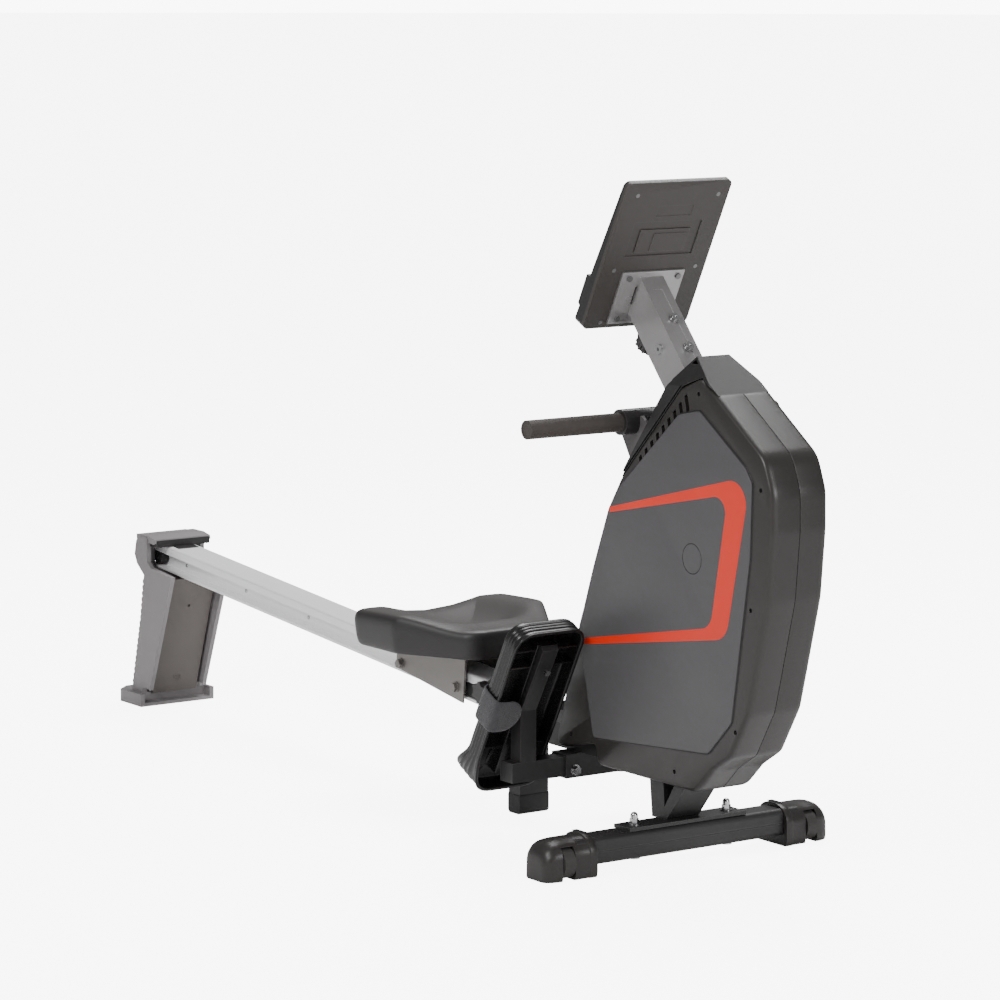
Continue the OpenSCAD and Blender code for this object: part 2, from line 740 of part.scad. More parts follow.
// Spiral recoil spring wound beside the reel: coils as nested rings with a bridge
module recoil_spring() {
    color("#9aa0a6") {
        for (r = [12 : 4 : 32]) ring_y(reel_c, -29, -17, r + 1, r);
        slab_y([[reel_c[0] + 6.6, reel_c[1] - 1], [reel_c[0] + 33, reel_c[1] - 1],
                [reel_c[0] + 33, reel_c[1] + 1], [reel_c[0] + 6.6, reel_c[1] + 1]], -28.5, -17.5);
    }
}
// Flanged roller that turns the strap out through the cap
module guide_roller() {
    color("#e4e2da") difference() {
        union() {
            rod_y(guide_c, -15, 15, 10.6);
            rod_y(guide_c, -18, -15, 13);
            rod_y(guide_c, 15, 18, 13);
        }
        rod_y(guide_c, -20, 20, 5.06);
    }
    color("silver") rod_y(guide_c, -plate_y0 + 0.9, plate_y0 - 0.9, 5);
}
// Webbing from the reel up to the guide roller and a quarter turn over it
module reel_strap() {
    w = 12.4;
    color("#202022") {
        strip([[reel_c[0] + reel_r + 0.3, 262], [reel_c[0] + reel_r + 2, 262],
               [guide_c[0] + 12.6, guide_c[1]], [guide_c[0] + 10.9, guide_c[1]]], w);
        translate([guide_c[0], w, guide_c[1]]) rotate([90, 0, 0]) linear_extrude(2 * w)
            polygon(concat(arc([0, 0], 10.9, 0, 90, 16), [[-46, 10.9], [-46, 12.6]],
                           arc([0, 0], 12.6, 90, 0, 16)));
    }
}
module strip(pts, w) {
    slab_y(pts, -w, w);
}
// Three lengths of webbing that lie stacked in the housing and draw out one after another
strap_l = 252;
strap_z = 642.6;
module strap_length(x0, k) {
    color("#202022") block([x0, -12.4, strap_z - k * 2.2], [x0 + strap_l, 12.4, strap_z - k * 2.2 + 1.7]);
}
module strap_inner() {
    strap_length(602, 2);
}
module strap_middle() {
    strap_length(602, 1);
}
module strap_outer() {
    color("#202022") block([bar_x + 19.55, -12.4, strap_z], [856, 12.4, strap_z + 1.7]);
}

// Steel handlebar tube
module handlebar() {
    color("#303032") difference() {
        rod_y([bar_x, bar_z], -bar_len / 2 + 3, bar_len / 2 - 3, 11);
        rod_y([bar_x, bar_z], -bar_len / 2, bar_len / 2, 9.4);
    }
}
module handle_grips() {
    color("#3f3f41") both_sides() {
        ring_y([bar_x, bar_z], -bar_len / 2 + 3, -62, grip_r, 11.02);
        difference() {
            rod_y([bar_x, bar_z], -bar_len / 2, -bar_len / 2 + 3, grip_r);
            rod_y([bar_x, bar_z], -bar_len / 2 - 1, -bar_len / 2 + 0.6, grip_r - 3.5);
        }
    }
}
// Moulded middle of the handle, clamped on the tube, with the strap's anchor
module handle_centre() {
    color("#1a1a1b") {
        difference() {
            union() {
                rod_y([bar_x, bar_z], -61.5, 61.5, 19);
                block([bar_x, -24, bar_z - 17], [bar_x + 19.5, 24, bar_z + 8]);
            }
            rod_y([bar_x, bar_z], -70, 70, 11.02);
            for (y = [-46, 46]) translate([bar_x, y, bar_z + 14]) cylinder(h = 10, r = 3.4);
            for (y = [-20, 20]) translate([bar_x, y, bar_z + 14]) cylinder(h = 10, r = 3.4);
        }
    }
}
// Bracket with two hooks that the parked handle lies in
module handle_rest() {
    color("#8a8a8d") both_sides() difference() {
        slab_y([[bar_x - 23, bar_z - 6], [bar_x - 27, bar_z - 20], [bar_x - 14, 602], [bar_x - 4, 586],
                [571, 583], [571, 589], [599, 625], [606, 640], [bar_x + 30, bar_z + 4],
                [bar_x + 22, bar_z + 10]], 33, 38);
        rod_y([bar_x, bar_z], 30, 40, 19.4);
        block([bar_x - 40, 30, bar_z], [bar_x + 19.4, 40, bar_z + 40]);
    }
}

// Tube across the frame and an upright with a slanted head for each foot
module footrest_tubes() {
    x0 = cross_x1 - cross_s;
    color("#262627") both_sides() {
        difference() {
            block([x0 + 0.1, -foot_y - 29, cross_z1 - cross_s], [cross_x1 - 0.1, -20, cross_z1 - 2.2]);
            block([x0 + 3, -foot_y - 26, cross_z1 - cross_s + 2.5], [cross_x1 - 3, -19, cross_z1 - 5]);
            translate([x0 - 5, -42, 101]) rotate([0, 90, 0]) cylinder(h = 60, r = 4.05);
        }
        block([cross_x1 - 26, -foot_y - 14, cross_z1 - 2.3], [cross_x1, -foot_y + 14, 206]);
        slab_y([[cross_x1 - 26, 205], [cross_x1, 201], [cross_x1 + 57, 300], [cross_x1 + 52, 307],
                [cross_x1 + 33, 310]], -foot_y - 14, -foot_y + 14);
    }
}
// Socket bolts with their nuts, and one screw through each head
module footrest_bolts() {
    x0 = cross_x1 - cross_s - 3.4;
    color("#d6d8da") both_sides() {
        translate([x0 - 2, -42, 101]) rotate([0, 90, 0]) cylinder(h = 46, r = 4);
        translate([cross_x1 + 3.45, -42, 101]) rotate([0, 90, 0]) cylinder(h = 1.6, r = 9);
        translate([cross_x1 + 5, -42, 101]) rotate([0, 90, 0]) cylinder(h = 6, r = 6.6, $fn = 6);
        translate([x0 - 6, -42, 101]) rotate([0, 90, 0]) cylinder(h = 5.9, r = 7);
        on_footplate() translate([12.1, -foot_y - 1, 233]) rotate([0, 90, 0]) cylinder(h = 4, r = 5);
    }
}
// Places children on a footplate: z runs from heel to toe, x points to the front
foot_tilt = 28;
module on_footplate() {
    translate([361, 0, 66]) rotate([0, foot_tilt, 0]) children();
}
// Moulded footplate, open and ribbed at the front, with a heel cup
module footplate() {
    t = 30;
    y0 = -foot_y - foot_w / 2;
    y1 = -foot_y + foot_w / 2;
    color("#131314") on_footplate() difference() {
        union() {
            block([-t, y0, 14], [0, y1, foot_l - 10]);
            block([-t + 5, y0 + 8, foot_l - 12], [0, y1 - 8, foot_l]);
            slab_y([[-t - 26, 20], [-t - 16, 10], [-6, 10], [8, 18], [10, 34], [0, 42], [-t, 46],
                    [-t - 24, 42]], y0 + 6, y1 - 6);
        }
        block([-t + 4, y0 + 4, 46], [1, -foot_y - 16.5, foot_l - 16]);
        block([-t + 4, -foot_y + 16.5, 46], [1, y1 - 4, foot_l - 16]);
        block([-25, -foot_y - 14.6, 90], [40, -foot_y + 14.6, foot_l + 4]);
        slab_y([[-t - 22.5, 21], [-t - 12, 14], [-t - 0.01, 14], [-t - 0.01, 60], [-t - 22.5, 60]],
               y0 + 10, y1 - 10);
        block([-26, -foot_y - 14.6, 42], [1, -foot_y + 14.6, 91]);
    }
}
module footplate_right() {
    footplate();
}
module footplate_left() {
    mirror([0, 1, 0]) footplate();
}
// Hook and loop straps: over the foot, round the outer edge and back on themselves
module foot_straps() {
    y0 = -foot_y - foot_w / 2;
    y1 = -foot_y + foot_w / 2;
    color("#2b2b31") both_sides() on_footplate() translate([0, 0, 122]) {
        block([-43, y0 - 3.4, 0], [-40, y1 + 3.4, 56]);
        block([-43, y0 - 3.4, 0], [4, y0 - 0.4, 56]);
        block([-43, y1 + 0.4, 0], [-6, y1 + 3.4, 56]);
        block([1, y0 - 3.4, 0], [4, y0 + 36, 56]);
    }
}

// Aluminium rail with a roller channel along each side
module rail() {
    color("#cfd2d6") on_rail() translate([rail_x0, 0, 0]) rotate([90, 0, 90])
        linear_extrude(rail_x1 - rail_x0) difference() {
            rounded_rect_at(rail_w / 2, rail_h, 4);
            for (s = [-1, 1]) translate([s > 0 ? rail_w / 2 - channel_d : -rail_w / 2 - 1, channel_z0])
                square([channel_d + 1, channel_z1 - channel_z0]);
            translate([-rail_w / 2 + channel_d + 2.5, 2.5])
                square([rail_w - 2 * channel_d - 5, rail_h - 5]);
            for (s = [-1, 1]) translate([s * 17.5 - 8, channel_z1 + 2.5])
                square([16, rail_h - channel_z1 - 5]);
        }
}
module rounded_rect_at(a, h, r) {
    translate([-a, r]) square([2 * a, h - 2 * r]);
    translate([-a + r, 0]) square([2 * a - 2 * r, h]);
    for (x = [-a + r, a - r], z = [r, h - r]) translate([x, z]) circle(r = r);
}
// Steel shoe on the rail's front end, with the fold pivot's bolt and the lock hole
module rail_hinge() {
    color("#1c1c1d") on_rail() {
        difference() {
            union() {
                both_sides() {
                    translate([-66, rail_w / 2 + 0.05, 0]) cube([88, 4.4, 44]);
                    translate([-66, rail_w / 2 - channel_d + 0.1, channel_z0 + 0.1])
                        cube([5.9, channel_d, channel_z1 - channel_z0 - 0.2]);
                }
                translate([-60 + 0.05, -rail_w / 2 - 0.1, 14]) cube([42, rail_w + 0.2, 30]);
            }
            translate([0, 40, pivot_h]) rotate([90, 0, 0]) cylinder(h = 80, r = 6.05);
            translate([knob_at[0], 40, knob_at[1]]) rotate([90, 0, 0]) cylinder(h = 80, r = 5.05);
            translate([-18, -40, 40]) rotate([0, 45, 0]) cube([60, 80, 60]);
        }
        translate([0, 45.4, pivot_h]) rotate([90, 0, 0]) cylinder(h = 90.8, r = 6);
        both_sides() translate([0, 46.4, pivot_h]) rotate([90, 0, 0]) cylinder(h = 5.4, r = 10);
    }
}
// Places children on the lock's axis, z pointing to the -Y side
module on_lock() {
    on_rail() translate([knob_at[0], 0, knob_at[1]]) rotate([90, 0, 0]) children();
}
// Clamping bolt that follows the ears' curved slots
module fold_bolt() {
    color("silver") on_lock() translate([0, 0, -41]) cylinder(h = 82, r = 5);
}
// Star knob on the clamping bolt's -Y end, with its collar, and the nut at the far end
module fold_knob() {
    color("#1a1a1b") on_lock() {
        translate([0, 0, -47]) cylinder(h = 5.95, r = 9);
        translate([0, 0, 41.05]) cylinder(h = 6, r = 10);
        difference() {
            translate([0, 0, 46.9]) cylinder(h = 15, r = 17);
            for (a = [0 : 60 : 300]) rotate([0, 0, a]) translate([20, 0, 46]) cylinder(h = 18, r = 7);
        }
    }
}
// Rubber stops with bolts, four of them, one at each end of each channel
module rail_bumpers() {
    color("#141415") on_rail() both_sides() {
        for (x = [bumper_x, rail_x0 + 28]) translate([x, -rail_w / 2 + channel_d - 0.1, roller_z])
            rotate([90, 0, 0]) {
                cylinder(h = channel_d - 1, r = bumper_r);
                translate([0, 0, channel_d - 1.1]) cylinder(h = 2.6, r = 5, $fn = 6);
            }
        block([carr_front + roller_r + 0.6, -rail_w / 2 + 1, roller_z - bumper_r + 1],
              [bumper_x, -rail_w / 2 + channel_d - 0.1, roller_z + bumper_r - 1]);
    }
}
// Contoured seat: a skirted block with raised rear flanks, hollowed in the middle
module seat() {
    color("#4a4a4d") difference() {
        translate([seat_x1 - seat_l, 0, seat_z]) hull() {
            for (s = [-1, 1]) {
                translate([34, s * (seat_w / 2 - 34), 0]) cylinder(h = 50, r1 = 33, r2 = 30, $fn = 32);
                translate([130, s * (seat_w / 2 - 38), 0]) cylinder(h = 54, r1 = 37, r2 = 32, $fn = 32);
                translate([seat_l - 42, s * (seat_w / 2 - 78), 0])
                    cylinder(h = 34, r1 = 41, r2 = 34, $fn = 32);
            }
        }
        translate([seat_x1 - seat_l - 60, 0, 424]) rotate([0, 93, 0]) cylinder(h = 240, r = 150, $fn = 96);
        block([-24, -60, seat_z - 1], [150, 60, seat_z + 8]);
    }
}
seat_x1 = 218;
seat_z = 245;
// Folded steel carriage under the seat: top plate and two side plates
module seat_carriage() {
    y = rail_w / 2 + 9;
    color("#8f8b88") {
        difference() {
            union() {
                block([-57, -y, 236], [136, y, 239]);
                both_sides() slab_y([[-59, 183], [129, 154], [137, 239], [-59, 239]], y - 3, y);
                for (x = [-12, 110], s = [-1, 1]) translate([x, s * 24, 238.9]) cylinder(h = 14, r = 7);
            }
            on_rail() for (x = [carr_rear, carr_front]) translate([x, 60, roller_z]) rotate([90, 0, 0])
                cylinder(h = 120, r = 4.06);
        }
        on_rail() for (x = [carr_rear, carr_front]) both_sides() translate([x, 0, roller_z])
            rotate([90, 0, 0]) {
                translate([0, 0, rail_w / 2 - channel_d + 1.6]) cylinder(h = 28, r = 4);
                translate([0, 0, rail_w / 2 + 9.05]) cylinder(h = 1.6, r = 9);
                translate([0, 0, rail_w / 2 + 10.6]) cylinder(h = 5.5, r = 7.2, $fn = 6);
            }
    }
}
// Nylon rollers that run in the rail's channels, a pair on each axle
module rollers_front() {
    color("#d8d6d0") on_rail() roller_pair(carr_front);
}
module rollers_rear() {
    color("#d8d6d0") on_rail() roller_pair(carr_rear);
}
module roller_pair(x) {
    both_sides() translate([x, -rail_w / 2 + channel_d - 2.6, roller_z]) rotate([90, 0, 0])
        difference() {
            cylinder(h = 13, r = roller_r);
            translate([0, 0, -1]) cylinder(h = 20, r = 4.06);
        }
}
// Moulded rear leg that caps the rail's end and stands on a cross foot
module rear_leg() {
    color("#5c5a5c") difference() {
        union() {
            both_sides() slab_y([[-822, 20], [-738, 239], [-810, 247], [-822, 256], [-822, 296],
                [-828, 300], [-851, 298], [-860, 290], [-866, 266], [-858, 250], [-834, 232],
                [-847, 156], [-880, 20]], -58, -50);
            slab_y([[-866, 20], [-880, 20], [-847, 156], [-837, 226], [-868, 252], [-872, 300], [-852, 300],
                    [-846, 296], [-846, 248], [-822, 226], [-833, 156]], -50.1, 50.1);
            slab_y([[-852, 292], [-802, 289], [-796, 292], [-798, 298], [-820, 302], [-856, 302]], -56, 56);
            for (z = [60, 110, 160]) slab_y([[-872 + z * 0.2, z], [-853 + z * 0.36, z],
                [-853 + z * 0.36, z + 3], [-872 + z * 0.2, z + 3]], -50.1, 50.1);
            linear_extrude(22) polygon([[-820, 74], [-893, 74], [-nose_x, 50], [-nose_x, -50],
                                        [-893, -74], [-820, -74]]);
        }
        rail_clear();
        block([-840, -66, 6], [-819, 66, 30]);
    }
}
// Flat cover let in between the leg's two side walls, with its two screws
module rear_leg_cover() {
    color("#4a4542") difference() {
        slab_y([[-836, 20], [-832, 20], [-760, 231], [-766, 231]], -44, 44);
        for (p = leg_screws) translate([p[0] - 12, 0, p[1]]) rotate([0, 90, 0]) cylinder(h = 30, r = 2.6);
    }
    color("#d6d8da") for (p = leg_screws) translate([p[0] - 6, 0, p[1]]) rotate([0, 71, 0]) {
        cylinder(h = 8, r = 2.5);
        translate([0, 0, 7]) cylinder(h = 1.6, r = 6.4);
    }
}
leg_screws = [[-784, 180], [-823, 45]];
module rail_clear() {
    on_rail() translate([rail_x0 - 0.2, -rail_w / 2 - 0.2, -0.2]) cube([300, rail_w + 0.4, rail_h + 0.4]);
}

main_frame();
mast_plates();
stabiliser_tube();
stabiliser_bolts();
stabiliser_cap_right();
stabiliser_cap_left();
transport_wheel_right();
transport_wheel_left();
wheel_axles();
centre_foot();
housing_right();
housing_left();
housing_top_cap();
side_cover_right();
side_cover_left();
red_stripes();
housing_screws();
console_post();
frame_bolts();
console_back();
console_front();
console_lens();
console_screws();
battery_door();
batteries();
button_left();
button_middle();
button_right();
tension_knob();
flywheel();
drive_axles();
magnet_bracket();
drive_pulley();
drive_belt();
strap_reel();
recoil_spring();
guide_roller();
reel_strap();
strap_inner();
strap_middle();
strap_outer();
handlebar();
handle_grips();
handle_centre();
handle_rest();
footrest_tubes();
footplate_right();
footplate_left();
foot_straps();
rail();
rail_hinge();
fold_bolt();
fold_knob();
rail_bumpers();
seat();
seat_carriage();
rollers_front();
rollers_rear();
rear_leg();
rear_leg_cover();
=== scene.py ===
import math

import bmesh
import bpy
import numpy as np
from mathutils import Matrix, Vector


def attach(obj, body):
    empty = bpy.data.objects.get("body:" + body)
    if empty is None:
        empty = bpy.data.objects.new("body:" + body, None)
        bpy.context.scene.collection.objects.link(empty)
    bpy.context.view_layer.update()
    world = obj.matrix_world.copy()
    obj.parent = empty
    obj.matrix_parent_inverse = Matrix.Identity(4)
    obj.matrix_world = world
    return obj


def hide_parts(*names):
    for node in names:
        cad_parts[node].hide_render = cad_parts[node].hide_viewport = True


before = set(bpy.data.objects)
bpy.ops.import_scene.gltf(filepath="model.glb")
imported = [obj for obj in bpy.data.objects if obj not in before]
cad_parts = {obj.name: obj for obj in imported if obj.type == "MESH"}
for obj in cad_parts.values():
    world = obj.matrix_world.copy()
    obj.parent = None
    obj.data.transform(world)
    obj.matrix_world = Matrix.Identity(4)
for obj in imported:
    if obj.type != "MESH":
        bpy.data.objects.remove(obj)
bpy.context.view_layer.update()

MM = 0.001
PLATE_LEAN, PLATE_FOOT = 28, (361, 0, 66)
RAIL_LEAN, RAIL_START = 5, (238, 0, 147)
PLUG_X, PLUG_Z, PLUG_R = 735, 462, 22


# ---- camera, floor and studio lights ----
def place_camera():
    """Camera looking along (-cos yaw cos pitch, sin yaw cos pitch, -sin pitch), then rolled about that line."""
    yaw, pitch, roll = (math.radians(a) for a in (34.776, 8.007, -0.108))
    ahead = Vector((-math.cos(yaw) * math.cos(pitch), math.sin(yaw) * math.cos(pitch), -math.sin(pitch)))
    side = Vector((math.sin(yaw), math.cos(yaw), 0.0))
    down = ahead.cross(side)
    right = side * math.cos(roll) + down * math.sin(roll)
    below = down * math.cos(roll) - side * math.sin(roll)
    lens = bpy.data.cameras.new("camera")
    lens.lens, lens.sensor_width, lens.clip_end = 146.2, 36.0, 200.0
    rig = bpy.data.objects.new("camera", lens)
    turn = Matrix((right, -below, -ahead)).transposed().to_4x4()
    rig.matrix_world = Matrix.Translation((5.2977, -3.5558, 1.3549)) @ turn
    bpy.context.scene.collection.objects.link(rig)
    bpy.context.scene.camera = rig


def area_light(name, place, aim, size, power):
    """Square soft light at a place, turned towards an aim point."""
    data = bpy.data.lights.new(name, "AREA")
    data.size, data.energy = size, power
    lamp = bpy.data.objects.new(name, data)
    lamp.location = place
    lamp.rotation_euler = (Vector(aim) - Vector(place)).to_track_quat("-Z", "Y").to_euler()
    bpy.context.scene.collection.objects.link(lamp)


def seen_or_lit(tree, socket, seen, lit):
    """Strength of a backdrop: one value where it is looked at, a lower one where it only lights the machine."""
    path = tree.nodes.new("ShaderNodeLightPath")
    choose = tree.nodes.new("ShaderNodeMapRange")
    choose.inputs["To Min"].default_value = lit
    choose.inputs["To Max"].default_value = seen
    tree.links.new(path.outputs["Is Camera Ray"], choose.inputs["Value"])
    tree.links.new(choose.outputs["Result"], socket)


def studio():
    """Pale round floor, even sky and three soft lights."""
    world = bpy.data.worlds.new("studio sky")
    world.use_nodes = True
    sky = world.node_tree.nodes["Background"]
    sky.inputs["Color"].default_value = (1.0, 1.0, 1.0, 1.0)
    seen_or_lit(world.node_tree, sky.inputs["Strength"], 9.0, 0.26)
    bpy.context.scene.world = world
    turn = np.linspace(0, 2 * np.pi, 96, endpoint=False)
    rim = np.stack([60 * np.cos(turn), 60 * np.sin(turn), 0 * turn - 0.0006], 1)
    data = bpy.data.meshes.new("floor")
    data.from_pydata(rim.tolist(), [], [list(range(96))])
    floor = bpy.data.objects.new("floor", data)
    bpy.context.scene.collection.objects.link(floor)
    paint = bpy.data.materials.new("floor paint")
    paint.use_nodes = True
    shader = paint.node_tree.nodes["Principled BSDF"]
    shader.inputs["Base Color"].default_value = (0.93, 0.93, 0.93, 1)
    shader.inputs["Roughness"].default_value = 0.85
    shader.inputs["Emission Color"].default_value = (1, 1, 1, 1)
    seen_or_lit(paint.node_tree, shader.inputs["Emission Strength"], 7.0, 0.10)
    data.materials.append(paint)
    area_light("key", (1.6, -4.2, 3.2), (0.1, 0, 0.4), 1.7, 150)
    area_light("nose fill", (4.4, 0.6, 1.6), (0.6, 0, 0.5), 1.2, 60)
    area_light("top strip", (-0.6, 1.2, 3.4), (0.0, 0, 0.2), 2.0, 130)


# ---- finishes ----
def shade(colour, k):
    """Colour multiplied by k, opaque."""
    return tuple(min(1.0, c * k) for c in colour) + (1.0,)


def finish(name, colour, rough, metal=0.0, tone=(4.0, 0.12), grain=(900.0, 0.12), gloss=0.08,
           painted_edge_highlight=None, stretch=None, **sockets):
    """Moulded or painted surface: broad noise shifts the tone, fine noise gives grain in bump and gloss,
    and a painted edge highlight (radius, strength, colour) lightens the edges."""
    mat = bpy.data.materials.new(name)
    mat.use_nodes = True
    tree = mat.node_tree
    shader = tree.nodes["Principled BSDF"]
    shader.inputs["Metallic"].default_value = metal
    for key, value in sockets.items():
        shader.inputs[key.replace("_", " ")].default_value = value
    place = tree.nodes.new("ShaderNodeTexCoord").outputs["Object"]
    if stretch:
        mapping = tree.nodes.new("ShaderNodeMapping")
        mapping.inputs["Scale"].default_value = stretch
        tree.links.new(place, mapping.inputs["Vector"])
        place = mapping.outputs["Vector"]

    def noise(scale, detail):
        node = tree.nodes.new("ShaderNodeTexNoise")
        node.inputs["Scale"].default_value = scale
        node.inputs["Detail"].default_value = detail
        tree.links.new(place, node.inputs["Vector"])
        return node.outputs["Fac"]

    broad, fine = noise(tone[0], 3.0), noise(grain[0], 2.0)
    blend = tree.nodes.new("ShaderNodeMix")
    blend.data_type = "RGBA"
    blend.inputs["A"].default_value = shade(colour, 1 - tone[1])
    blend.inputs["B"].default_value = shade(colour, 1 + tone[1])
    tree.links.new(broad, blend.inputs["Factor"])
    result = blend.outputs["Result"]
    # Painted highlight: where the bevelled normal turns away from the face normal, the colour is lightened towards a
    # pale tone, standing for the light that rounded edges catch.
    if painted_edge_highlight:
        edge = tree.nodes.new("ShaderNodeBevel")
        edge.samples = 4
        edge.inputs["Radius"].default_value = painted_edge_highlight[0]
        flat = tree.nodes.new("ShaderNodeNewGeometry")
        dot = tree.nodes.new("ShaderNodeVectorMath")
        dot.operation = "DOT_PRODUCT"
        tree.links.new(edge.outputs["Normal"], dot.inputs[0])
        tree.links.new(flat.outputs["Normal"], dot.inputs[1])
        ramp = tree.nodes.new("ShaderNodeMapRange")
        ramp.inputs["From Min"].default_value = 0.995
        ramp.inputs["From Max"].default_value = 0.80
        ramp.inputs["To Min"].default_value = 0.0
        ramp.inputs["To Max"].default_value = painted_edge_highlight[1]
        tree.links.new(dot.outputs["Value"], ramp.inputs["Value"])
        painted_highlight_mix = tree.nodes.new("ShaderNodeMix")
        painted_highlight_mix.data_type = "RGBA"
        painted_highlight_mix.inputs["B"].default_value = shade(painted_edge_highlight[2], 1)
        tree.links.new(ramp.outputs["Result"], painted_highlight_mix.inputs["Factor"])
        tree.links.new(result, painted_highlight_mix.inputs["A"])
        result = painted_highlight_mix.outputs["Result"]
    tree.links.new(result, shader.inputs["Base Color"])
    dull = tree.nodes.new("ShaderNodeMapRange")
    dull.inputs["To Min"].default_value = max(0.02, rough - gloss)
    dull.inputs["To Max"].default_value = min(1.0, rough + gloss)
    tree.links.new(broad if gloss > 0.1 else fine, dull.inputs["Value"])
    tree.links.new(dull.outputs["Result"], shader.inputs["Roughness"])
    bump = tree.nodes.new("ShaderNodeBump")
    bump.inputs["Strength"].default_value = grain[1]
    bump.inputs["Distance"].default_value = 0.0004
    tree.links.new(fine, bump.inputs["Height"])
    tree.links.new(bump.outputs["Normal"], shader.inputs["Normal"])
    return mat


def webbing(name, colour, threads):
    """Woven band: two crossed waves along the piece's UV make warp and weft, with fibre noise on top."""
    mat = finish(name, colour, 0.92, tone=(30.0, 0.2), grain=(1400.0, 0.5), gloss=0.05,
                 Sheen_Weight=0.35, Sheen_Roughness=0.5)
    tree = mat.node_tree
    place = tree.nodes["Texture Coordinate"].outputs["UV" if threads else "Object"]
    weave = None
    for axis, scale in (("X", threads or 300), ("Y", threads or 300)):
        wave = tree.nodes.new("ShaderNodeTexWave")
        wave.bands_direction = axis
        wave.inputs["Scale"].default_value = scale
        wave.inputs["Distortion"].default_value = 0.6
        tree.links.new(place, wave.inputs["Vector"])
        if weave is None:
            weave = wave.outputs["Fac"]
        else:
            both = tree.nodes.new("ShaderNodeMath")
            both.operation = "MAXIMUM"
            tree.links.new(weave, both.inputs[0])
            tree.links.new(wave.outputs["Fac"], both.inputs[1])
            weave = both.outputs["Value"]
    ridge = tree.nodes.new("ShaderNodeBump")
    ridge.inputs["Strength"].default_value = 0.5
    ridge.inputs["Distance"].default_value = 0.0005
    tree.links.new(weave, ridge.inputs["Height"])
    tree.links.new(ridge.outputs["Normal"], tree.nodes["Bump"].inputs["Normal"])
    return mat


frame_paint = finish("frame powder coat", (0.020, 0.019, 0.019), 0.42, grain=(420.0, 0.25),
                     painted_edge_highlight=(0.0012, 0.4, (0.16, 0.16, 0.16)))
chrome = finish("polished bolt steel", (0.62, 0.62, 0.63), 0.16, metal=1.0, tone=(60.0, 0.12),
                grain=(1200.0, 0.05))
cap_black = finish("stabiliser cap plastic", (0.021, 0.019, 0.018), 0.40, grain=(700.0, 0.22),
                   painted_edge_highlight=(0.0015, 0.35, (0.12, 0.12, 0.12)))
wheel_rubber = finish("wheel rubber", (0.034, 0.031, 0.030), 0.62, grain=(500.0, 0.3), tone=(20.0, 0.15))
shell_black = finish("housing shell plastic", (0.026, 0.023, 0.022), 0.36, grain=(1100.0, 0.2),
                     painted_edge_highlight=(0.0014, 0.3, (0.15, 0.15, 0.16)))
cap_grey = finish("top cap plastic", (0.013, 0.012, 0.012), 0.52, grain=(1100.0, 0.2),
                  painted_edge_highlight=(0.0012, 0.3, (0.16, 0.16, 0.16)))
cover_grey = finish("side cover satin grey", (0.078, 0.075, 0.079), 0.46, tone=(3.0, 0.10), grain=(1300.0, 0.3),
                    painted_edge_highlight=(0.001, 0.5, (0.22, 0.22, 0.24)))
stripe_red = finish("stripe orange red", (0.78, 0.022, 0.004), 0.36, tone=(9.0, 0.08), grain=(1000.0, 0.1))
post_grey = finish("post metallic grey", (0.36, 0.35, 0.35), 0.30, metal=0.6, grain=(1500.0, 0.2), gloss=0.12,
                   painted_edge_highlight=(0.0012, 0.6, (0.6, 0.6, 0.6)))
console_taupe = finish("console back plastic", (0.044, 0.039, 0.036), 0.50, grain=(900.0, 0.35),
                       painted_edge_highlight=(0.0012, 0.35, (0.16, 0.15, 0.14)))
console_black = finish("console front plastic", (0.020, 0.019, 0.019), 0.38, grain=(900.0, 0.25),
                       painted_edge_highlight=(0.0012, 0.35, (0.14, 0.14, 0.14)))
lens_glass = finish("display window", (0.02, 0.03, 0.028), 0.06, tone=(6.0, 0.2), grain=(200.0, 0.01), gloss=0.02,
                    Coat_Weight=0.6)
cell_yellow = finish("cell wrap", (0.55, 0.42, 0.06), 0.35, tone=(40.0, 0.1))
key_red = finish("key silicone", (0.33, 0.025, 0.02), 0.55, tone=(50.0, 0.1), grain=(900.0, 0.2))
iron = finish("flywheel iron", (0.26, 0.27, 0.28), 0.42, metal=1.0, tone=(25.0, 0.2), grain=(600.0, 0.2))
zinc = finish("zinc plate", (0.55, 0.50, 0.36), 0.35, metal=1.0, tone=(50.0, 0.25),
              grain=(500.0, 0.1), gloss=0.12)
pulley_black = finish("pulley nylon", (0.025, 0.025, 0.027), 0.5, grain=(600.0, 0.2))
belt_rubber = finish("belt rubber", (0.012, 0.012, 0.012), 0.75, grain=(800.0, 0.4))
spring_steel = finish("spring steel", (0.42, 0.44, 0.47), 0.3, metal=1.0, tone=(80.0, 0.2))
nylon = finish("roller nylon", (0.62, 0.60, 0.55), 0.42, tone=(30.0, 0.06), grain=(500.0, 0.1),
               Subsurface_Weight=0.05)
strap_black = webbing("pull strap webbing", (0.020, 0.020, 0.022), 0)
grip_foam = finish("grip foam", (0.055, 0.047, 0.043), 0.72, tone=(40.0, 0.18), grain=(1500.0, 0.6),
                   gloss=0.1)
handle_black = finish("handle plastic", (0.022, 0.020, 0.020), 0.34, grain=(900.0, 0.2),
                      painted_edge_highlight=(0.0012, 0.4, (0.2, 0.2, 0.2)))
rest_grey = finish("handle rest steel", (0.10, 0.095, 0.095), 0.42, metal=0.3, grain=(900.0, 0.2),
                   painted_edge_highlight=(0.001, 0.5, (0.35, 0.35, 0.35)))
foot_black = finish("footplate plastic", (0.012, 0.011, 0.011), 0.26, tone=(10.0, 0.15), grain=(1500.0, 0.06))
foot_webbing = webbing("foot strap webbing", (0.030, 0.029, 0.034), 30)
rail_silver = finish("anodised rail", (0.95, 0.95, 0.96), 0.36, metal=0.2, tone=(3.0, 0.03), grain=(260.0, 0.06),
                     stretch=(0.02, 1.0, 1.0))
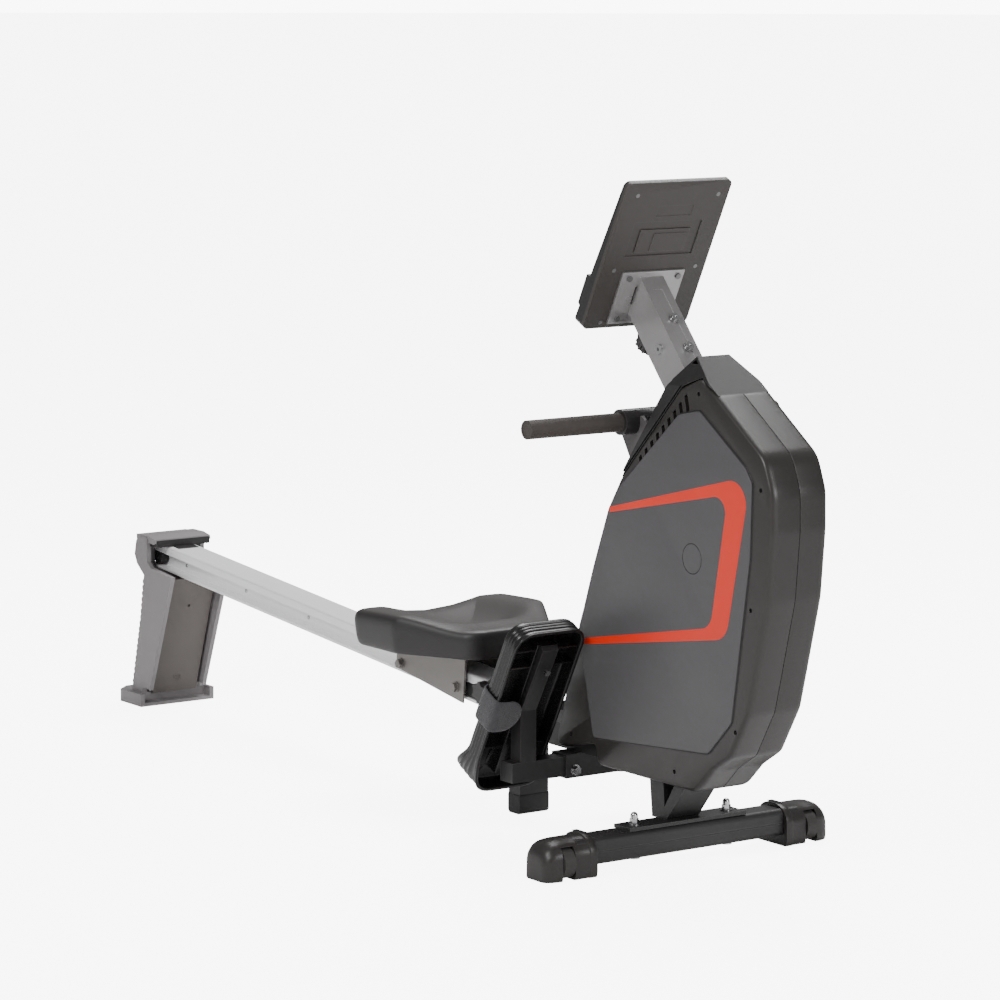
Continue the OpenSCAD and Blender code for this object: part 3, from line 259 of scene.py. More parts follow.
stop_rubber = finish("stop rubber", (0.016, 0.016, 0.016), 0.6, grain=(700.0, 0.3))
carriage_paint = finish("carriage zinc grey", (0.23, 0.215, 0.205), 0.38, metal=0.45, tone=(12.0, 0.08),
                        grain=(1300.0, 0.25), painted_edge_highlight=(0.001, 0.5, (0.5, 0.5, 0.5)))
leg_grey = finish("rear leg plastic", (0.23, 0.215, 0.222), 0.48, grain=(1000.0, 0.3),
                  painted_edge_highlight=(0.0014, 0.3, (0.3, 0.3, 0.31)))
leg_taupe = finish("rear leg cover plastic", (0.105, 0.092, 0.084), 0.52, grain=(900.0, 0.35),
                   painted_edge_highlight=(0.001, 0.3, (0.2, 0.2, 0.2)))
case_screw = finish("case screw steel", (0.20, 0.20, 0.20), 0.42, metal=0.8, tone=(60.0, 0.15),
                    grain=(900.0, 0.1))
screw_black = finish("black oxide screw", (0.035, 0.035, 0.036), 0.38, metal=0.8, tone=(60.0, 0.2))
rib_black = finish("moulded rib black", (0.014, 0.013, 0.013), 0.45, grain=(700.0, 0.2))


def seat_skin():
    """Moulded seat skin: leathery cells and fine pores; the skirt, at low V of the UV, is darker than the top."""
    mat = finish("seat moulded skin", (0.050, 0.046, 0.045), 0.44, tone=(14.0, 0.10), grain=(1500.0, 0.35),
                 gloss=0.06)
    tree = mat.node_tree
    shader = tree.nodes["Principled BSDF"]
    cells = tree.nodes.new("ShaderNodeTexVoronoi")
    cells.feature = "DISTANCE_TO_EDGE"
    cells.inputs["Scale"].default_value = 420.0
    tree.links.new(tree.nodes["Texture Coordinate"].outputs["Object"], cells.inputs["Vector"])
    crease = tree.nodes.new("ShaderNodeBump")
    crease.inputs["Strength"].default_value = 0.22
    crease.inputs["Distance"].default_value = 0.0004
    tree.links.new(cells.outputs["Distance"], crease.inputs["Height"])
    tree.links.new(crease.outputs["Normal"], tree.nodes["Bump"].inputs["Normal"])
    split = tree.nodes.new("ShaderNodeSeparateXYZ")
    tree.links.new(tree.nodes["Texture Coordinate"].outputs["UV"], split.inputs["Vector"])
    ramp = tree.nodes.new("ShaderNodeMapRange")
    ramp.inputs["From Min"].default_value = 0.50
    ramp.inputs["From Max"].default_value = 0.58
    tree.links.new(split.outputs["Y"], ramp.inputs["Value"])
    dark = tree.nodes.new("ShaderNodeMix")
    dark.data_type = "RGBA"
    dark.inputs["A"].default_value = (0.022, 0.020, 0.020, 1)
    tree.links.new(shader.inputs["Base Color"].links[0].from_socket, dark.inputs["B"])
    tree.links.new(ramp.outputs["Result"], dark.inputs["Factor"])
    tree.links.new(dark.outputs["Result"], shader.inputs["Base Color"])
    return mat


NODE_FINISH = {
    "main_frame": frame_paint, "mast_plates": frame_paint, "stabiliser_tube": frame_paint,
    "stabiliser_bolts": chrome, "stabiliser_cap_right": cap_black, "stabiliser_cap_left": cap_black,
    "transport_wheel_right": wheel_rubber, "transport_wheel_left": wheel_rubber, "wheel_axles": chrome,
    "centre_foot": stop_rubber, "housing_right": shell_black, "housing_left": shell_black,
    "housing_top_cap": cap_grey, "side_cover_right": cover_grey, "side_cover_left": cover_grey,
    "red_stripes": stripe_red, "housing_screws": screw_black, "console_post": post_grey,
    "frame_bolts": chrome, "console_back": console_taupe, "console_front": console_black,
    "console_lens": lens_glass, "console_screws": case_screw, "battery_door": console_taupe,
    "batteries": cell_yellow, "button_left": key_red, "button_middle": key_red, "button_right": key_red,
    "tension_knob": handle_black, "flywheel": iron, "drive_axles": chrome, "magnet_bracket": zinc,
    "drive_pulley": pulley_black, "drive_belt": belt_rubber, "strap_reel": pulley_black,
    "recoil_spring": spring_steel, "guide_roller": nylon, "reel_strap": strap_black,
    "strap_inner": strap_black, "strap_middle": strap_black, "strap_outer": strap_black,
    "handlebar": frame_paint, "handle_grips": grip_foam, "handle_centre": handle_black,
    "handle_rest": rest_grey, "footrest_tubes": frame_paint,
    "footplate_right": foot_black, "footplate_left": foot_black, "foot_straps": foot_webbing,
    "rail": rail_silver, "rail_hinge": frame_paint, "fold_knob": handle_black, "fold_bolt": chrome,
    "rail_bumpers": stop_rubber, "seat": grip_foam, "seat_carriage": carriage_paint,
    "rollers_front": nylon, "rollers_rear": nylon, "rear_leg": leg_grey, "rear_leg_cover": leg_taupe,
}
EDGE_MM = {
    "housing_top_cap": 1.6, "console_back": 0.8,
    "console_front": 0.9, "handle_centre": 0.8,
    "rear_leg_cover": 0.8, "rail_hinge": 0.6, "seat_carriage": 0.4, "centre_foot": 0.8,
}


def dress_nodes():
    """Gives each CAD node its finish, and rounds the moulded ones' edges by a welded bevel."""
    for name, mat in NODE_FINISH.items():
        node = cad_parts[name]
        if not node.material_slots:
            node.data.materials.append(mat)
        for s in node.material_slots:
            s.material = mat
        if name in EDGE_MM:
            weld = node.modifiers.new("weld", "WELD")
            weld.merge_threshold = 1e-5
            edge = node.modifiers.new("edge", "BEVEL")
            edge.width = EDGE_MM[name] * MM
            edge.segments = 2
            edge.limit_method = "ANGLE"
            edge.angle_limit = math.radians(28)
            edge.use_clamp_overlap = True


# ---- surfaces ----
def skin(name, verts, faces, mat, body, smooth=True, uv=None):
    """Mesh piece from computed points in millimetres and faces turned outwards; rides on a body, takes a slot."""
    data = bpy.data.meshes.new(name)
    data.from_pydata((np.asarray(verts, float) * MM).tolist(), [], [list(map(int, f)) for f in faces])
    data.update()
    outward(data)
    if uv is not None:
        layer = data.uv_layers.new(name="UVMap")
        loops = np.empty(len(data.loops), np.int32)
        data.loops.foreach_get("vertex_index", loops)
        layer.data.foreach_set("uv", np.asarray(uv, np.float32)[loops].ravel())
    data.polygons.foreach_set("use_smooth", np.full(len(data.polygons), smooth))
    data.materials.append(mat)
    piece = bpy.data.objects.new(name, data)
    bpy.context.scene.collection.objects.link(piece)
    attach(piece, body)
    return piece


def grid_faces(rows, cols, wrap=True):
    """Quads between neighbouring rows of a rows by cols grid, closed round the columns if wrap."""
    r = np.arange(rows - 1)[:, None]
    c = np.arange(cols if wrap else cols - 1)[None, :]
    n = (c + 1) % cols
    return np.stack([r * cols + c, r * cols + n, (r + 1) * cols + n, (r + 1) * cols + c], -1).reshape(-1, 4)


def turned(points, angle_deg, origin):
    """Points in a tilted frame moved to the row frame: turn about Y by the angle, then shift by the origin."""
    a = math.radians(angle_deg)
    p = np.asarray(points, float)
    x = p[..., 0] * math.cos(a) + p[..., 2] * math.sin(a) + origin[0]
    z = -p[..., 0] * math.sin(a) + p[..., 2] * math.cos(a) + origin[2]
    return np.stack([x, p[..., 1] + origin[1], z], -1)


def boxes(centres, sizes):
    """Closed boxes, one for each centre, each with its own or one shared size: eight corners and six quads."""
    centres = np.asarray(centres, float)
    sizes = np.broadcast_to(np.asarray(sizes, float), centres.shape) / 2
    corner = np.array([[-1, -1, -1], [1, -1, -1], [1, 1, -1], [-1, 1, -1],
                       [-1, -1, 1], [1, -1, 1], [1, 1, 1], [-1, 1, 1]])
    verts = (centres[:, None] + corner[None] * sizes[:, None]).reshape(-1, 3)
    quad = np.array([[0, 3, 2, 1], [4, 5, 6, 7], [0, 1, 5, 4], [1, 2, 6, 5], [2, 3, 7, 6], [3, 0, 4, 7]])
    faces = (np.arange(len(centres))[:, None, None] * 8 + quad[None]).reshape(-1, 4)
    return verts, faces


def bevel(piece, width_mm, segments=2):
    """Rounds the piece's sharp edges."""
    edge = piece.modifiers.new("edge", "BEVEL")
    edge.width = width_mm * MM
    edge.segments = segments
    edge.limit_method = "ANGLE"


def seat_outline(count):
    """Convex outline round six circles: its support function h is the soft maximum of theirs, and each
    point is h n + h' t for the normal n and the tangent t."""
    turn = np.linspace(0, 2 * np.pi, count, endpoint=False)
    n = np.stack([np.cos(turn), np.sin(turn)], 1)
    centre = np.array([(-7, 111), (-7, -111), (84, 108), (84, -108), (176, 50), (176, -50)], float)
    radius = np.array([33, 33, 36, 36, 42, 42], float)
    each = n @ centre.T + radius
    weight = np.exp((each - each.max(1, keepdims=True)) / 2.2)
    weight /= weight.sum(1, keepdims=True)
    tangent = np.stack([-np.sin(turn), np.cos(turn)], 1)
    h = (weight * each).sum(1)
    slope = (weight * (tangent @ centre.T)).sum(1)
    return h[:, None] * n + slope[:, None] * tangent


def seat_top(x, y):
    """Top height: a skirt falling to the front, cut by a long round trough, with a raised middle at the front."""
    def step(a, b, t):
        k = np.clip((t - a) / (b - a), 0, 1)
        return k * k * (3 - 2 * k)

    body = 49 + 4 * step(-40, 90, x) - 15 * step(95, 205, x) - 5 * step(-5, -44, x)
    body = body - 9 * step(60, 128, np.abs(y)) * step(110, 190, x)
    trough = 424 - 0.0523 * (x + 100) - np.sqrt(np.maximum(150.0 ** 2 - y ** 2, 1)) - 245
    trough = trough + 40 * step(112, 190, x)
    soft = 3.5
    low = np.minimum(body, trough) - soft * np.log1p(np.exp(-np.abs(body - trough) / soft))
    return 245 + low + 3.0 * np.exp(-((x - 158) / 34) ** 2 - (y / 34) ** 2)


def make_seat():
    """Closed seat skin: rings of the outline scaled towards its middle, from the underside's pole round
    the skirt to the top's pole."""
    cols = 128
    rim = seat_outline(cols)
    middle = np.array([90.0, 0.0])
    ring = np.array([
        (0.30, 0), (0.60, 0), (0.70, 0), (0.86, 0), (0.935, 0.0), (0.958, 0.03), (0.972, 0.10), (0.982, 0.22),
        (0.991, 0.42), (0.998, 0.60), (1.0, 0.72), (0.996, 0.83), (0.982, 0.925), (0.956, 0.975), (0.92, 0.995),
        (0.87, 1), (0.80, 1), (0.71, 1), (0.61, 1), (0.50, 1), (0.39, 1), (0.28, 1), (0.17, 1), (0.08, 1)])
    xy = middle + ring[:, 0, None, None] * (rim - middle)
    top = seat_top(xy[..., 0], xy[..., 1])
    lip = 245 - 9 * np.clip((ring[:, 0] - 0.62) / 0.28, 0, 1)[:, None] ** 2
    z = lip + ring[:, 1, None] * (top - lip)
    verts = np.concatenate([np.dstack([xy, z]).reshape(-1, 3),
                            [[90, 0, 245], [90, 0, float(seat_top(np.array(90.0), np.array(0.0)))]]])
    rows = len(ring)
    faces = grid_faces(rows, cols).tolist()
    last = rows * cols
    faces += [[last, (c + 1) % cols, c] for c in range(cols)]
    base = (rows - 1) * cols
    faces += [[last + 1, base + c, base + (c + 1) % cols] for c in range(cols)]
    v = np.repeat(np.linspace(0, 1, rows), cols)
    u = np.tile(np.linspace(0, 1, cols), rows)
    uv = np.concatenate([np.stack([u, v], 1), [[0, 0], [0, 1]]])
    piece = skin("seat_pad", verts, faces, seat_skin(), "seat", uv=uv)
    smooth = piece.modifiers.new("smooth", "SUBSURF")
    smooth.levels = smooth.render_levels = 1
    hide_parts("seat")


def strap_path(count):
    """Strap's run round the plate in its [x, y] plane: front flap, outer side, over the foot, inner side;
    the corners are rounded by averaging neighbours along the run."""
    corners = np.array([[4.4, -141.5], [4.4, -190.2], [-41.5, -190.2], [-41.5, -61.8], [-7.5, -61.8]])
    run = np.concatenate([[0], np.cumsum(np.linalg.norm(np.diff(corners, axis=0), axis=1))])
    s = np.linspace(0, run[-1], count)
    path = np.stack([np.interp(s, run, corners[:, k]) for k in (0, 1)], 1)
    for _ in range(34):
        path[1:-1] = (path[:-2] + 2 * path[1:-1] + path[2:]) / 4
    crown = 1.6 * np.exp(-((s - (run[2] + run[3]) / 2) / 42) ** 2)
    path[:, 0] -= crown
    return path, s, run[-1]


def make_foot_straps():
    """Band of rounded section swept along the strap's run; it tapers to a half round at the front flap's end."""
    count, loop = 150, 28
    path, s, total = strap_path(count)
    ahead = np.gradient(path, axis=0)
    ahead /= np.linalg.norm(ahead, axis=1, keepdims=True)
    out = np.stack([ahead[:, 1], -ahead[:, 0]], 1)
    turn = np.linspace(0, 2 * np.pi, loop, endpoint=False)
    across = np.sign(np.cos(turn)) * np.abs(np.cos(turn)) ** 0.22
    thick = np.sign(np.sin(turn)) * np.abs(np.sin(turn)) ** 0.5 * (1 - 0.25 * np.abs(across) ** 6)
    tip = np.sqrt(np.clip(1 - (1 - np.clip(s / 26, 0, 1)) ** 2, 0.0004, 1))
    half = 27.6 * tip
    for side, sign in (("right", 1), ("left", -1)):
        x = path[:, 0, None] + out[:, 0, None] * thick * 1.35
        y = path[:, 1, None] + out[:, 1, None] * thick * 1.35
        z = 150 + half[:, None] * across
        pts = turned(np.dstack([x, y, z]), PLATE_LEAN, PLATE_FOOT)
        pts[..., 1] *= sign
        verts = np.concatenate([pts.reshape(-1, 3), pts[:1].mean(1), pts[-1:].mean(1)])
        faces = grid_faces(count, loop).tolist()
        first, last = count * loop, count * loop + 1
        faces += [[first, (c + 1) % loop, c] for c in range(loop)]
        faces += [[last, (count - 1) * loop + c, (count - 1) * loop + (c + 1) % loop] for c in range(loop)]
        faces = [f if sign < 0 else f[::-1] for f in faces]
        u = np.repeat(s / 56, loop)
        v = np.tile((across + 1) / 2, count)
        uv = np.concatenate([np.stack([u, v], 1), [[0, 0.5], [total / 56, 0.5]]])
        piece = skin("foot_strap_" + side, verts, faces, foot_webbing, "frame", uv=uv)
        if side == "right":
            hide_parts("foot_straps")


def rounded(points, radius, steps=9):
    """Closed outline with each corner replaced by a quadratic curve tangent to both sides."""
    p = np.asarray(points, float)
    r = np.broadcast_to(np.asarray(radius, float), (len(p),))
    back, on = np.roll(p, 1, 0) - p, np.roll(p, -1, 0) - p
    reach = np.minimum(np.linalg.norm(back, axis=1), np.linalg.norm(on, axis=1)) * 0.46
    back /= np.linalg.norm(back, axis=1, keepdims=True)
    on /= np.linalg.norm(on, axis=1, keepdims=True)
    half = np.arccos(np.clip((back * on).sum(1), -1, 1)) / 2
    cut = np.minimum(r / np.tan(half), reach)
    t = np.linspace(0, 1, steps)[None, :, None]
    start, end = (p + back * cut[:, None])[:, None], (p + on * cut[:, None])[:, None]
    return ((1 - t) ** 2 * start + 2 * t * (1 - t) * p[:, None] + t ** 2 * end).reshape(-1, 2)


def spaced(outline, count):
    """The closed outline sampled again at equal steps along its length."""
    loop = np.vstack([outline, outline[:1]])
    run = np.concatenate([[0], np.cumsum(np.linalg.norm(np.diff(loop, axis=0), axis=1))])
    s = np.linspace(0, run[-1], count, endpoint=False)
    return np.stack([np.interp(s, run, loop[:, k]) for k in (0, 1)], 1)


def drawn_in(outline, depth):
    """Anticlockwise outline moved inwards along its normals by depth."""
    ahead = np.roll(outline, -1, 0) - np.roll(outline, 1, 0)
    ahead /= np.linalg.norm(ahead, axis=1, keepdims=True)
    return outline + depth * np.stack([-ahead[:, 1], ahead[:, 0]], 1)


def lathe_rows(outline, rows):
    """Outline drawn in and raised row by row by (inset, height) pairs; gives rows of [a, b, height]."""
    return np.stack([np.column_stack([drawn_in(outline, d), np.full(len(outline), h)]) for d, h in rows])


def make_footplates():
    """Moulded shell of the plate: rounded outline drawn in row by row, giving the tread, three ridges round
    the wall, a lip and an open ribbed front; a smooth step raises the heel cup."""
    count = 220
    outline = spaced(rounded([(-61, 12), (61, 12), (61, 296), (-61, 296)], (34, 34, 30, 30)), count)
    rows = [(34, -30), (20, -30), (9, -30), (7, -31), (5, -33), (3, -34), (1.2, -33.2), (0.3, -31.5), (0, -29)]
    rows += [(0, -25.6), (-1.0, -24.8), (-1.0, -23.6), (0, -22.8), (0, -19.6), (-1.0, -18.8), (-1.0, -17.6),
             (0, -16.8), (0, -13.6), (-1.0, -12.8), (-1.0, -11.6), (0, -10.8)]
    wall_rows = len(rows)
    rows += [(0, -4), (-1.2, -3.2), (-1.6, -1.6), (-1.2, -0.2), (0.2, 0), (3.0, -0.4), (3.8, -1.4), (4, -3),
             (4.2, -21), (5, -23.6), (8, -25), (18, -25), (34, -25)]
    body = lathe_rows(outline, rows)
    heel = np.clip((74 - body[..., 1]) / 52, 0, 1)
    heel = heel * heel * (3 - 2 * heel)
    cup = np.array([0, 0, 0, 0.55, 0.92, 1, 1, 1, 1, 0.9, 0.85, 0.82, 0.78, 0.6, 0.55, 0.5, 0.46, 0.3, 0.25,
                    0.2, 0.16] + [0] * (len(rows) - wall_rows))[:, None]
    body[..., 2] -= 21 * heel * cup
    body[..., 2] += 9 * heel * (np.arange(len(rows)) >= wall_rows)[:, None]
    for side, sign in (("right", -1), ("left", 1)):
        pts = turned(np.stack([body[..., 2], 126 + body[..., 0], body[..., 1]], -1), PLATE_LEAN, PLATE_FOOT)
        pts[..., 1] *= sign
        n = len(rows) * count
        verts = np.concatenate([pts.reshape(-1, 3), pts[:1].mean(1), pts[-1:].mean(1)])
        faces = grid_faces(len(rows), count).tolist()
        faces += [[n, (c + 1) % count, c] for c in range(count)]
        faces += [[n + 1, n - count + c, n - count + (c + 1) % count] for c in range(count)]
        faces = [f if sign > 0 else f[::-1] for f in faces]
        piece = skin("footplate_shell_" + side, verts, faces, foot_black, "frame")
        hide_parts("footplate_" + side)
        spots, sizes = [], []
        for z in (84, 232, 262):
            spots += [(-15, 163.5, z), (-15, 88.5, z)]
            sizes += [(20, 38, 2.4), (20, 38, 2.4)]
        for y in (143, 109):
            spots.append((-15, y, 152))
            sizes.append((20, 2.4, 240))
        for z in np.concatenate([np.arange(66, 112, 9), np.arange(186, 280, 9)]):
            spots.append((-30.6, 126, z))
            sizes.append((2.4, 92, 4.2))
        verts, faces = boxes(spots, sizes)
        verts = turned(verts, PLATE_LEAN, PLATE_FOOT)
        verts[:, 1] *= sign
        faces = faces if sign > 0 else faces[:, ::-1]
        ribs = skin("footplate_ribs_" + side, verts, faces, foot_black, "frame", smooth=False)
        bevel(ribs, 0.5, 1)


SHELL_LINE = [
    (392, 128), (498, 152), (500, 120), (742, 120), (781, 158), (822, 184), (863, 254), (878, 311), (906, 421),
    (915, 520), (914, 575), (895, 624), (784, 701), (742, 722), (700, 706), (556, 560), (528, 518), (489, 419),
    (454, 333)]
COVER_LINE = [
    (497, 162), (776, 184), (829, 237), (841, 311), (868, 479), (871, 586), (855, 607), (748, 677), (700, 667),
    (560, 548), (532, 512), (494, 419), (462, 330), (464, 294)]
SCREWS_AT = [(744, 700), (888, 578), (868, 405), (836, 225), (694, 144), (437, 157)]


def prisms(outlines, y0, y1):
    """Closed prisms between two depths, one for each outline of equal point count, as cutters."""
    outlines = np.asarray(outlines, float)
    k, n = outlines.shape[:2]
    front = np.dstack([outlines[..., 0], np.full((k, n), y0), outlines[..., 1]])
    back = np.dstack([outlines[..., 0], np.full((k, n), y1), outlines[..., 1]])
    verts = np.stack([front, back], 1).reshape(-1, 3)
    one = grid_faces(2, n).tolist() + [list(range(n))[::-1], list(range(n, 2 * n))]
    return verts, [[i * 2 * n + v for v in f] for i in range(k) for f in one]


def carve(piece, verts, faces):
    """Cuts closed cutters out of a closed piece and keeps the result as its mesh."""
    data = bpy.data.meshes.new("cutter")
    data.from_pydata((verts * MM).tolist(), [], faces)
    tool = bpy.data.objects.new("cutter", data)
    bpy.context.scene.collection.objects.link(tool)
    for mesh in (data, piece.data):
        outward(mesh)
    cut = piece.modifiers.new("cut", "BOOLEAN")
    cut.operation, cut.object, cut.solver = "DIFFERENCE", tool, "EXACT"
    bpy.context.view_layer.update()
    made = bpy.data.meshes.new_from_object(piece.evaluated_get(bpy.context.evaluated_depsgraph_get()))
    made.set_sharp_from_angle(angle=math.radians(36))
    piece.modifiers.clear()
    piece.data = made
    bpy.data.objects.remove(tool)


def outward(mesh):
    """Turns every face of a closed mesh outwards."""
    work = bmesh.new()
    work.from_mesh(mesh)
    bmesh.ops.recalc_face_normals(work, faces=work.faces)
    work.to_mesh(mesh)
    work.free()


def closed_slab(name, grid, sign, mat):
    """Closed plate from rows of [x, z, depth], from the inner face to the outer, with a flat lid at each end."""
    pts = np.stack([grid[..., 0], grid[..., 2] * sign, grid[..., 1]], -1)
    rows, n = grid.shape[:2]
    last = (rows - 1) * n
    faces = grid_faces(rows, n).tolist() + [list(range(n))[::-1], list(range(last, last + n))]
    piece = skin(name, pts.reshape(-1, 3), faces, mat, "frame")
    flat = np.ones(len(piece.data.polygons), bool)
    flat[-2:] = False
    piece.data.polygons.foreach_set("use_smooth", flat)
    return piece


def make_plug_ring(side, sign):
    """Dark joint round the cover's plug: a flattened ring, circle of 22 mm swept by an oval section."""
    big, small = (np.linspace(0, 2 * np.pi, n, endpoint=False) for n in (64, 10))
    reach = PLUG_R + 0.95 * np.cos(small)[None, :]
    depth = sign * (52.85 + 0.4 * np.sin(small)[None, :] + 0 * big[:, None])
    verts = np.stack([PLUG_X + reach * np.cos(big)[:, None], depth,
                      PLUG_Z + reach * np.sin(big)[:, None]], -1).reshape(-1, 3)
    a, b = np.arange(64)[:, None], np.arange(10)[None, :]
    n, m = (a + 1) % 64, (b + 1) % 10
    faces = np.stack([a * 10 + b, a * 10 + m, n * 10 + m, n * 10 + b], -1).reshape(-1, 4)
    skin("cover_plug_ring_" + side, verts, faces, rib_black, "frame")


def make_stabiliser_caps():
    """Moulded boot: side outline shrunk row by row towards its sole by (share, depth) pairs, giving the
    collar, body and domed end; a box is cut out for the wheel."""
    corners = [(605, 0), (676, 0), (678, 10), (677, 42), (667, 56), (652, 62), (632, 62.5), (615, 57), (606, 44)]
    outline = spaced(rounded(corners, [4, 4, 8, 22, 20, 30, 30, 22, 18]), 220)
    rows = np.array([(0.16, 174), (0.033, 174), (0.008, 174.5), (0, 175.6), (0, 185), (0.011, 186.2),
                     (0.044, 187), (0.056, 188.4), (0.058, 225), (0.066, 234), (0.09, 242), (0.14, 249),
                     (0.215, 254.2), (0.315, 257.8), (0.43, 259.5), (0.56, 260)])
    sole = np.array([641.0, 0.0])
    shrunk = sole + (1 - rows[:, 0, None, None]) * (outline - sole)
    grid = np.dstack([shrunk, np.broadcast_to(rows[:, 1, None, None], shrunk.shape[:2] + (1,))])
    for side, sign in (("right", -1), ("left", 1)):
        cap = closed_slab("stabiliser_boot_" + side, grid, sign, cap_black)
        verts, faces = boxes([(668, 223 * sign, 20)], (76, 22, 59))
        carve(cap, verts, faces.tolist())
        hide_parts("stabiliser_cap_" + side)
        ribs, quads = boxes([(640, y * sign, 62.4) for y in np.arange(176.4, 185, 2.0)], (26, 0.9, 1.0))
        skin("boot_ribs_" + side, ribs, quads, cap_black, "frame", smooth=False)


def make_housing():
    """Each housing half: outline with rounded corners, a shut line at the middle and a round turned edge, cut
    for louvres and screws; its cover is a plate with a soft edge in a dark gasket, grooved round its plug."""
    corner = [16, 12, 20, 34, 30, 26, 40, 60, 90, 70, 60, 50, 26, 14, 14, 24, 50, 80, 60]
    outline = spaced(rounded(SHELL_LINE, corner), 420)
    soft = spaced(rounded(COVER_LINE, [6, 20, 16, 40, 60, 20, 20, 14, 24, 24, 30, 60, 24, 10]), 360)
    turn = np.linspace(0, 2 * np.pi, 24, endpoint=False)
    wall = lathe_rows(outline, [(5, 0.15), (1.2, 0.15), (0.2, 0.8), (0, 1.8), (0, 38), (0.3, 41.5),
                                (1.1, 44.8), (2.4, 47.4), (4.2, 49.2), (6.3, 50)])
    joint = lathe_rows(drawn_in(soft, -1.7), [(0.4, 49.6), (0, 49.9), (0.3, 50.5), (1.6, 50.9)])
    cover = lathe_rows(soft, [(0.6, 50.2), (0.3, 51.4), (0.45, 52.2), (0.9, 52.75), (1.6, 53)])
    for side, sign in (("right", -1), ("left", 1)):
        half = closed_slab("housing_skin_" + side, wall, sign, shell_black)
        i = np.arange(9)
        x, z, h = 604 + 14.0 * i, 590 + 11.0 * i, 6 + 1.7 * i
        slots = np.stack([np.stack([x, z - h * 0.4], 1), np.stack([x + 7, z - h * 0.4 + 5], 1),
                          np.stack([x + 7 - h * 0.3, z + h * 0.8 + 5], 1),
                          np.stack([x - h * 0.3, z + h * 0.8], 1)], 1)
        v1, f1 = prisms(slots, 43 * sign, 52 * sign)
        holes = [np.stack([a + 3.6 * np.cos(turn), b + 3.6 * np.sin(turn)], 1) for a, b in SCREWS_AT]
        v2, f2 = prisms(holes, 47.2 * sign, 56 * sign)
        carve(half, np.concatenate([v1, v2]), f1 + [[n + len(v1) for n in f] for f in f2])
        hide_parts("housing_" + side)
        closed_slab("cover_gasket_" + side, joint, sign, rib_black)
        plate = closed_slab("cover_skin_" + side, cover, sign, cover_grey)
        ring = np.stack([PLUG_X + 22.9 * np.cos(turn), PLUG_Z + 22.9 * np.sin(turn)], 1)
        hub = np.stack([PLUG_X + 21.0 * np.cos(turn), PLUG_Z + 21.0 * np.sin(turn)], 1)
        groove, _ = prisms([ring], 52.1 * sign, 54 * sign)
        inner, _ = prisms([hub], 52.1 * sign, 54 * sign)
        around = [[k, (k + 1) % 24, 24 + (k + 1) % 24, 24 + k] for k in range(24)]
        ends = [[k, (k + 1) % 24, 48 + (k + 1) % 24, 48 + k] for k in range(24)]
        tops = [[24 + k, 24 + (k + 1) % 24, 72 + (k + 1) % 24, 72 + k] for k in range(24)]
        inside = [[48 + k, 48 + (k + 1) % 24, 72 + (k + 1) % 24, 72 + k] for k in range(24)]
        carve(plate, np.concatenate([groove, inner]), around + ends + tops + inside)
        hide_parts("side_cover_" + side)
        make_plug_ring(side, sign)


def discs(centres, normal, radius, height, count=28):
    """Domed screw heads: each is a round wall and a shallow cone cap standing along the shared normal."""
    normal = np.asarray(normal, float)
    helper = np.array([0, 0, 1.0]) if abs(normal[2]) < 0.9 else np.array([1.0, 0, 0])
    a = np.cross(normal, helper)
    a /= np.linalg.norm(a)
    b = np.cross(normal, a)
    turn = np.linspace(0, 2 * np.pi, count, endpoint=False)
    circle = np.cos(turn)[:, None] * a + np.sin(turn)[:, None] * b
    steps = ((1.0, 0.0), (1.0, 0.55), (0.86, 0.86), (0.5, 1.0), (0.32, 1.0), (0.26, 0.55))
    one = np.concatenate([circle * radius * r + normal * height * h for r, h in steps]
                         + [[normal * 0.0], [normal * height * 0.5]])
    face = grid_faces(len(steps), count).tolist()
    n = len(steps) * count
    face += [[n, (c + 1) % count, c] for c in range(count)]
    face += [[n + 1, n - count + c, n - count + (c + 1) % count] for c in range(count)]
    verts = (np.asarray(centres, float)[:, None] + one[None]).reshape(-1, 3)
    faces = [[k * len(one) + i for i in f] for k in range(len(centres)) for f in face]
    return verts, faces


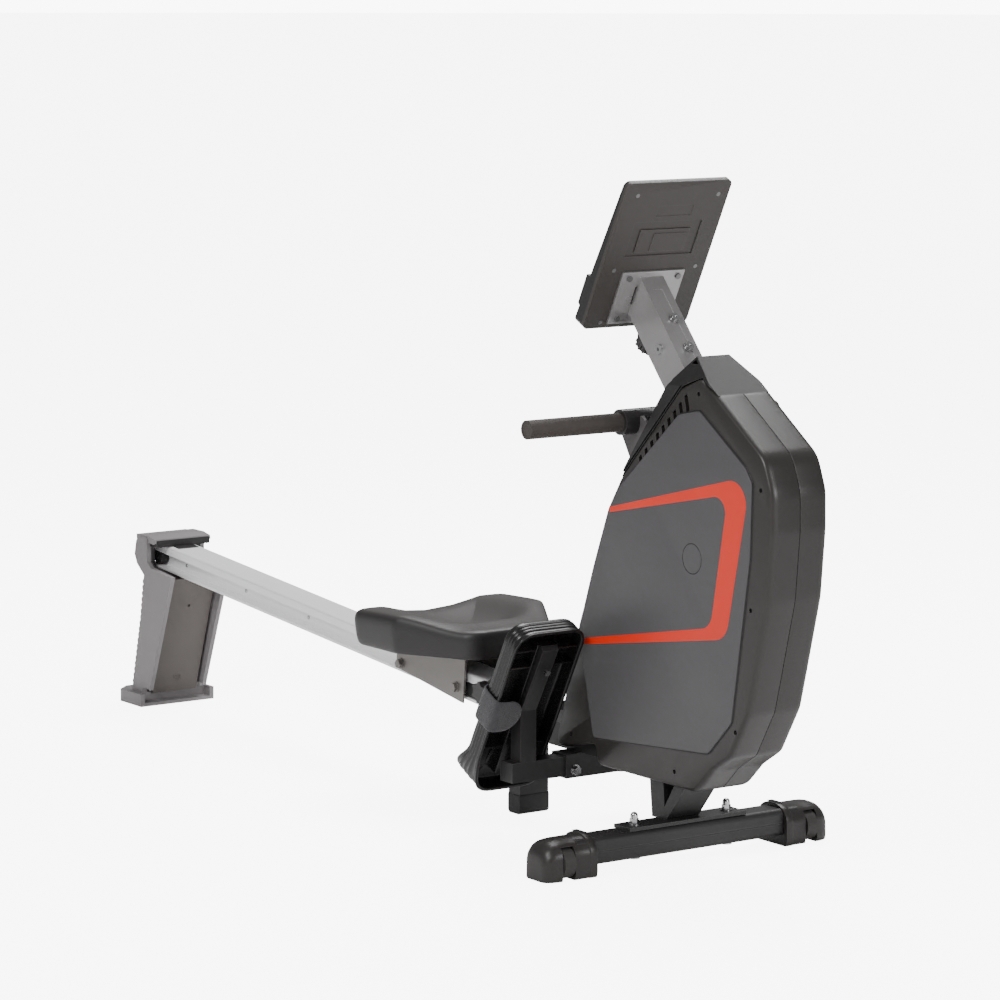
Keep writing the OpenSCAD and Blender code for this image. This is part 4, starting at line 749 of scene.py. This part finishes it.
def make_rail_screws():
    """Small screws in the floor of each rail channel, and the dark rest pad on the rail's rear end."""
    for side, sign in (("right", -1), ("left", 1)):
        spots = turned([(x, 11.0 * sign, 18.5) for x in (-1007, -808, -607, -406)], RAIL_LEAN, RAIL_START)
        verts, faces = discs(spots, (0, sign, 0), 3.4, 1.5)
        skin("rail_screws_" + side, verts, faces, chrome, "rail")
    verts, faces = boxes([(-1044, 0, 46.6)], (44, 40, 1.6))
    pad = turned(verts, RAIL_LEAN, RAIL_START)
    piece = skin("rail_rest_pad", pad, faces, rib_black, "rail", smooth=False)
    bevel(piece, 0.6)


def make_leg_teeth():
    """Oval teeth down the rear edges of the leg's walls, each lying across its wall, and the hood's ribs and rim."""
    line = np.array([[-836, 226], [-847, 156], [-879, 24]], float)
    run = np.concatenate([[0], np.cumsum(np.linalg.norm(np.diff(line, axis=0), axis=1))])
    s = np.arange(6, run[-1] - 4, 11.0)
    x, z = (np.interp(s, run, line[:, k]) for k in (0, 1))
    turn = np.linspace(0, 2 * np.pi, 14, endpoint=False)
    rims = np.stack([x[:, None] + 2.7 * np.cos(turn), z[:, None] + 4.2 * np.sin(turn)], -1)
    for side, sign in (("right", -1), ("left", 1)):
        verts, faces = prisms(rims, 50.6 * sign, 57.4 * sign)
        skin("leg_teeth_" + side, verts, faces, leg_grey, "rail", smooth=False)
    rows = np.linspace(-50, 50, 15)
    verts, faces = boxes([(-822, y, 286.5) for y in rows], (48, 2.2, 5.6))
    skin("hood_ribs", verts, faces, rib_black, "rail", smooth=False)
    turn = np.linspace(-1, 1, 25)
    front = np.stack([np.full(25, -796.6), turn * 53, 291.2 + 0 * turn], 1)
    verts = np.concatenate([front + d for d in ((0, 0, -6.6), (1.6, 0, -6.6), (1.6, 0, 5.0), (0, 0, 5.0))])
    faces = [[k * 25 + i, k * 25 + i + 1, ((k + 1) % 4) * 25 + i + 1, ((k + 1) % 4) * 25 + i]
             for k in range(4) for i in range(24)] + [[0, 25, 50, 75][::-1], [24, 49, 74, 99]]
    skin("hood_rim", verts, faces, rib_black, "rail", smooth=False)


place_camera()
studio()
dress_nodes()
make_seat()
make_foot_straps()
make_footplates()
make_housing()
make_stabiliser_caps()
make_rail_screws()
make_leg_teeth()
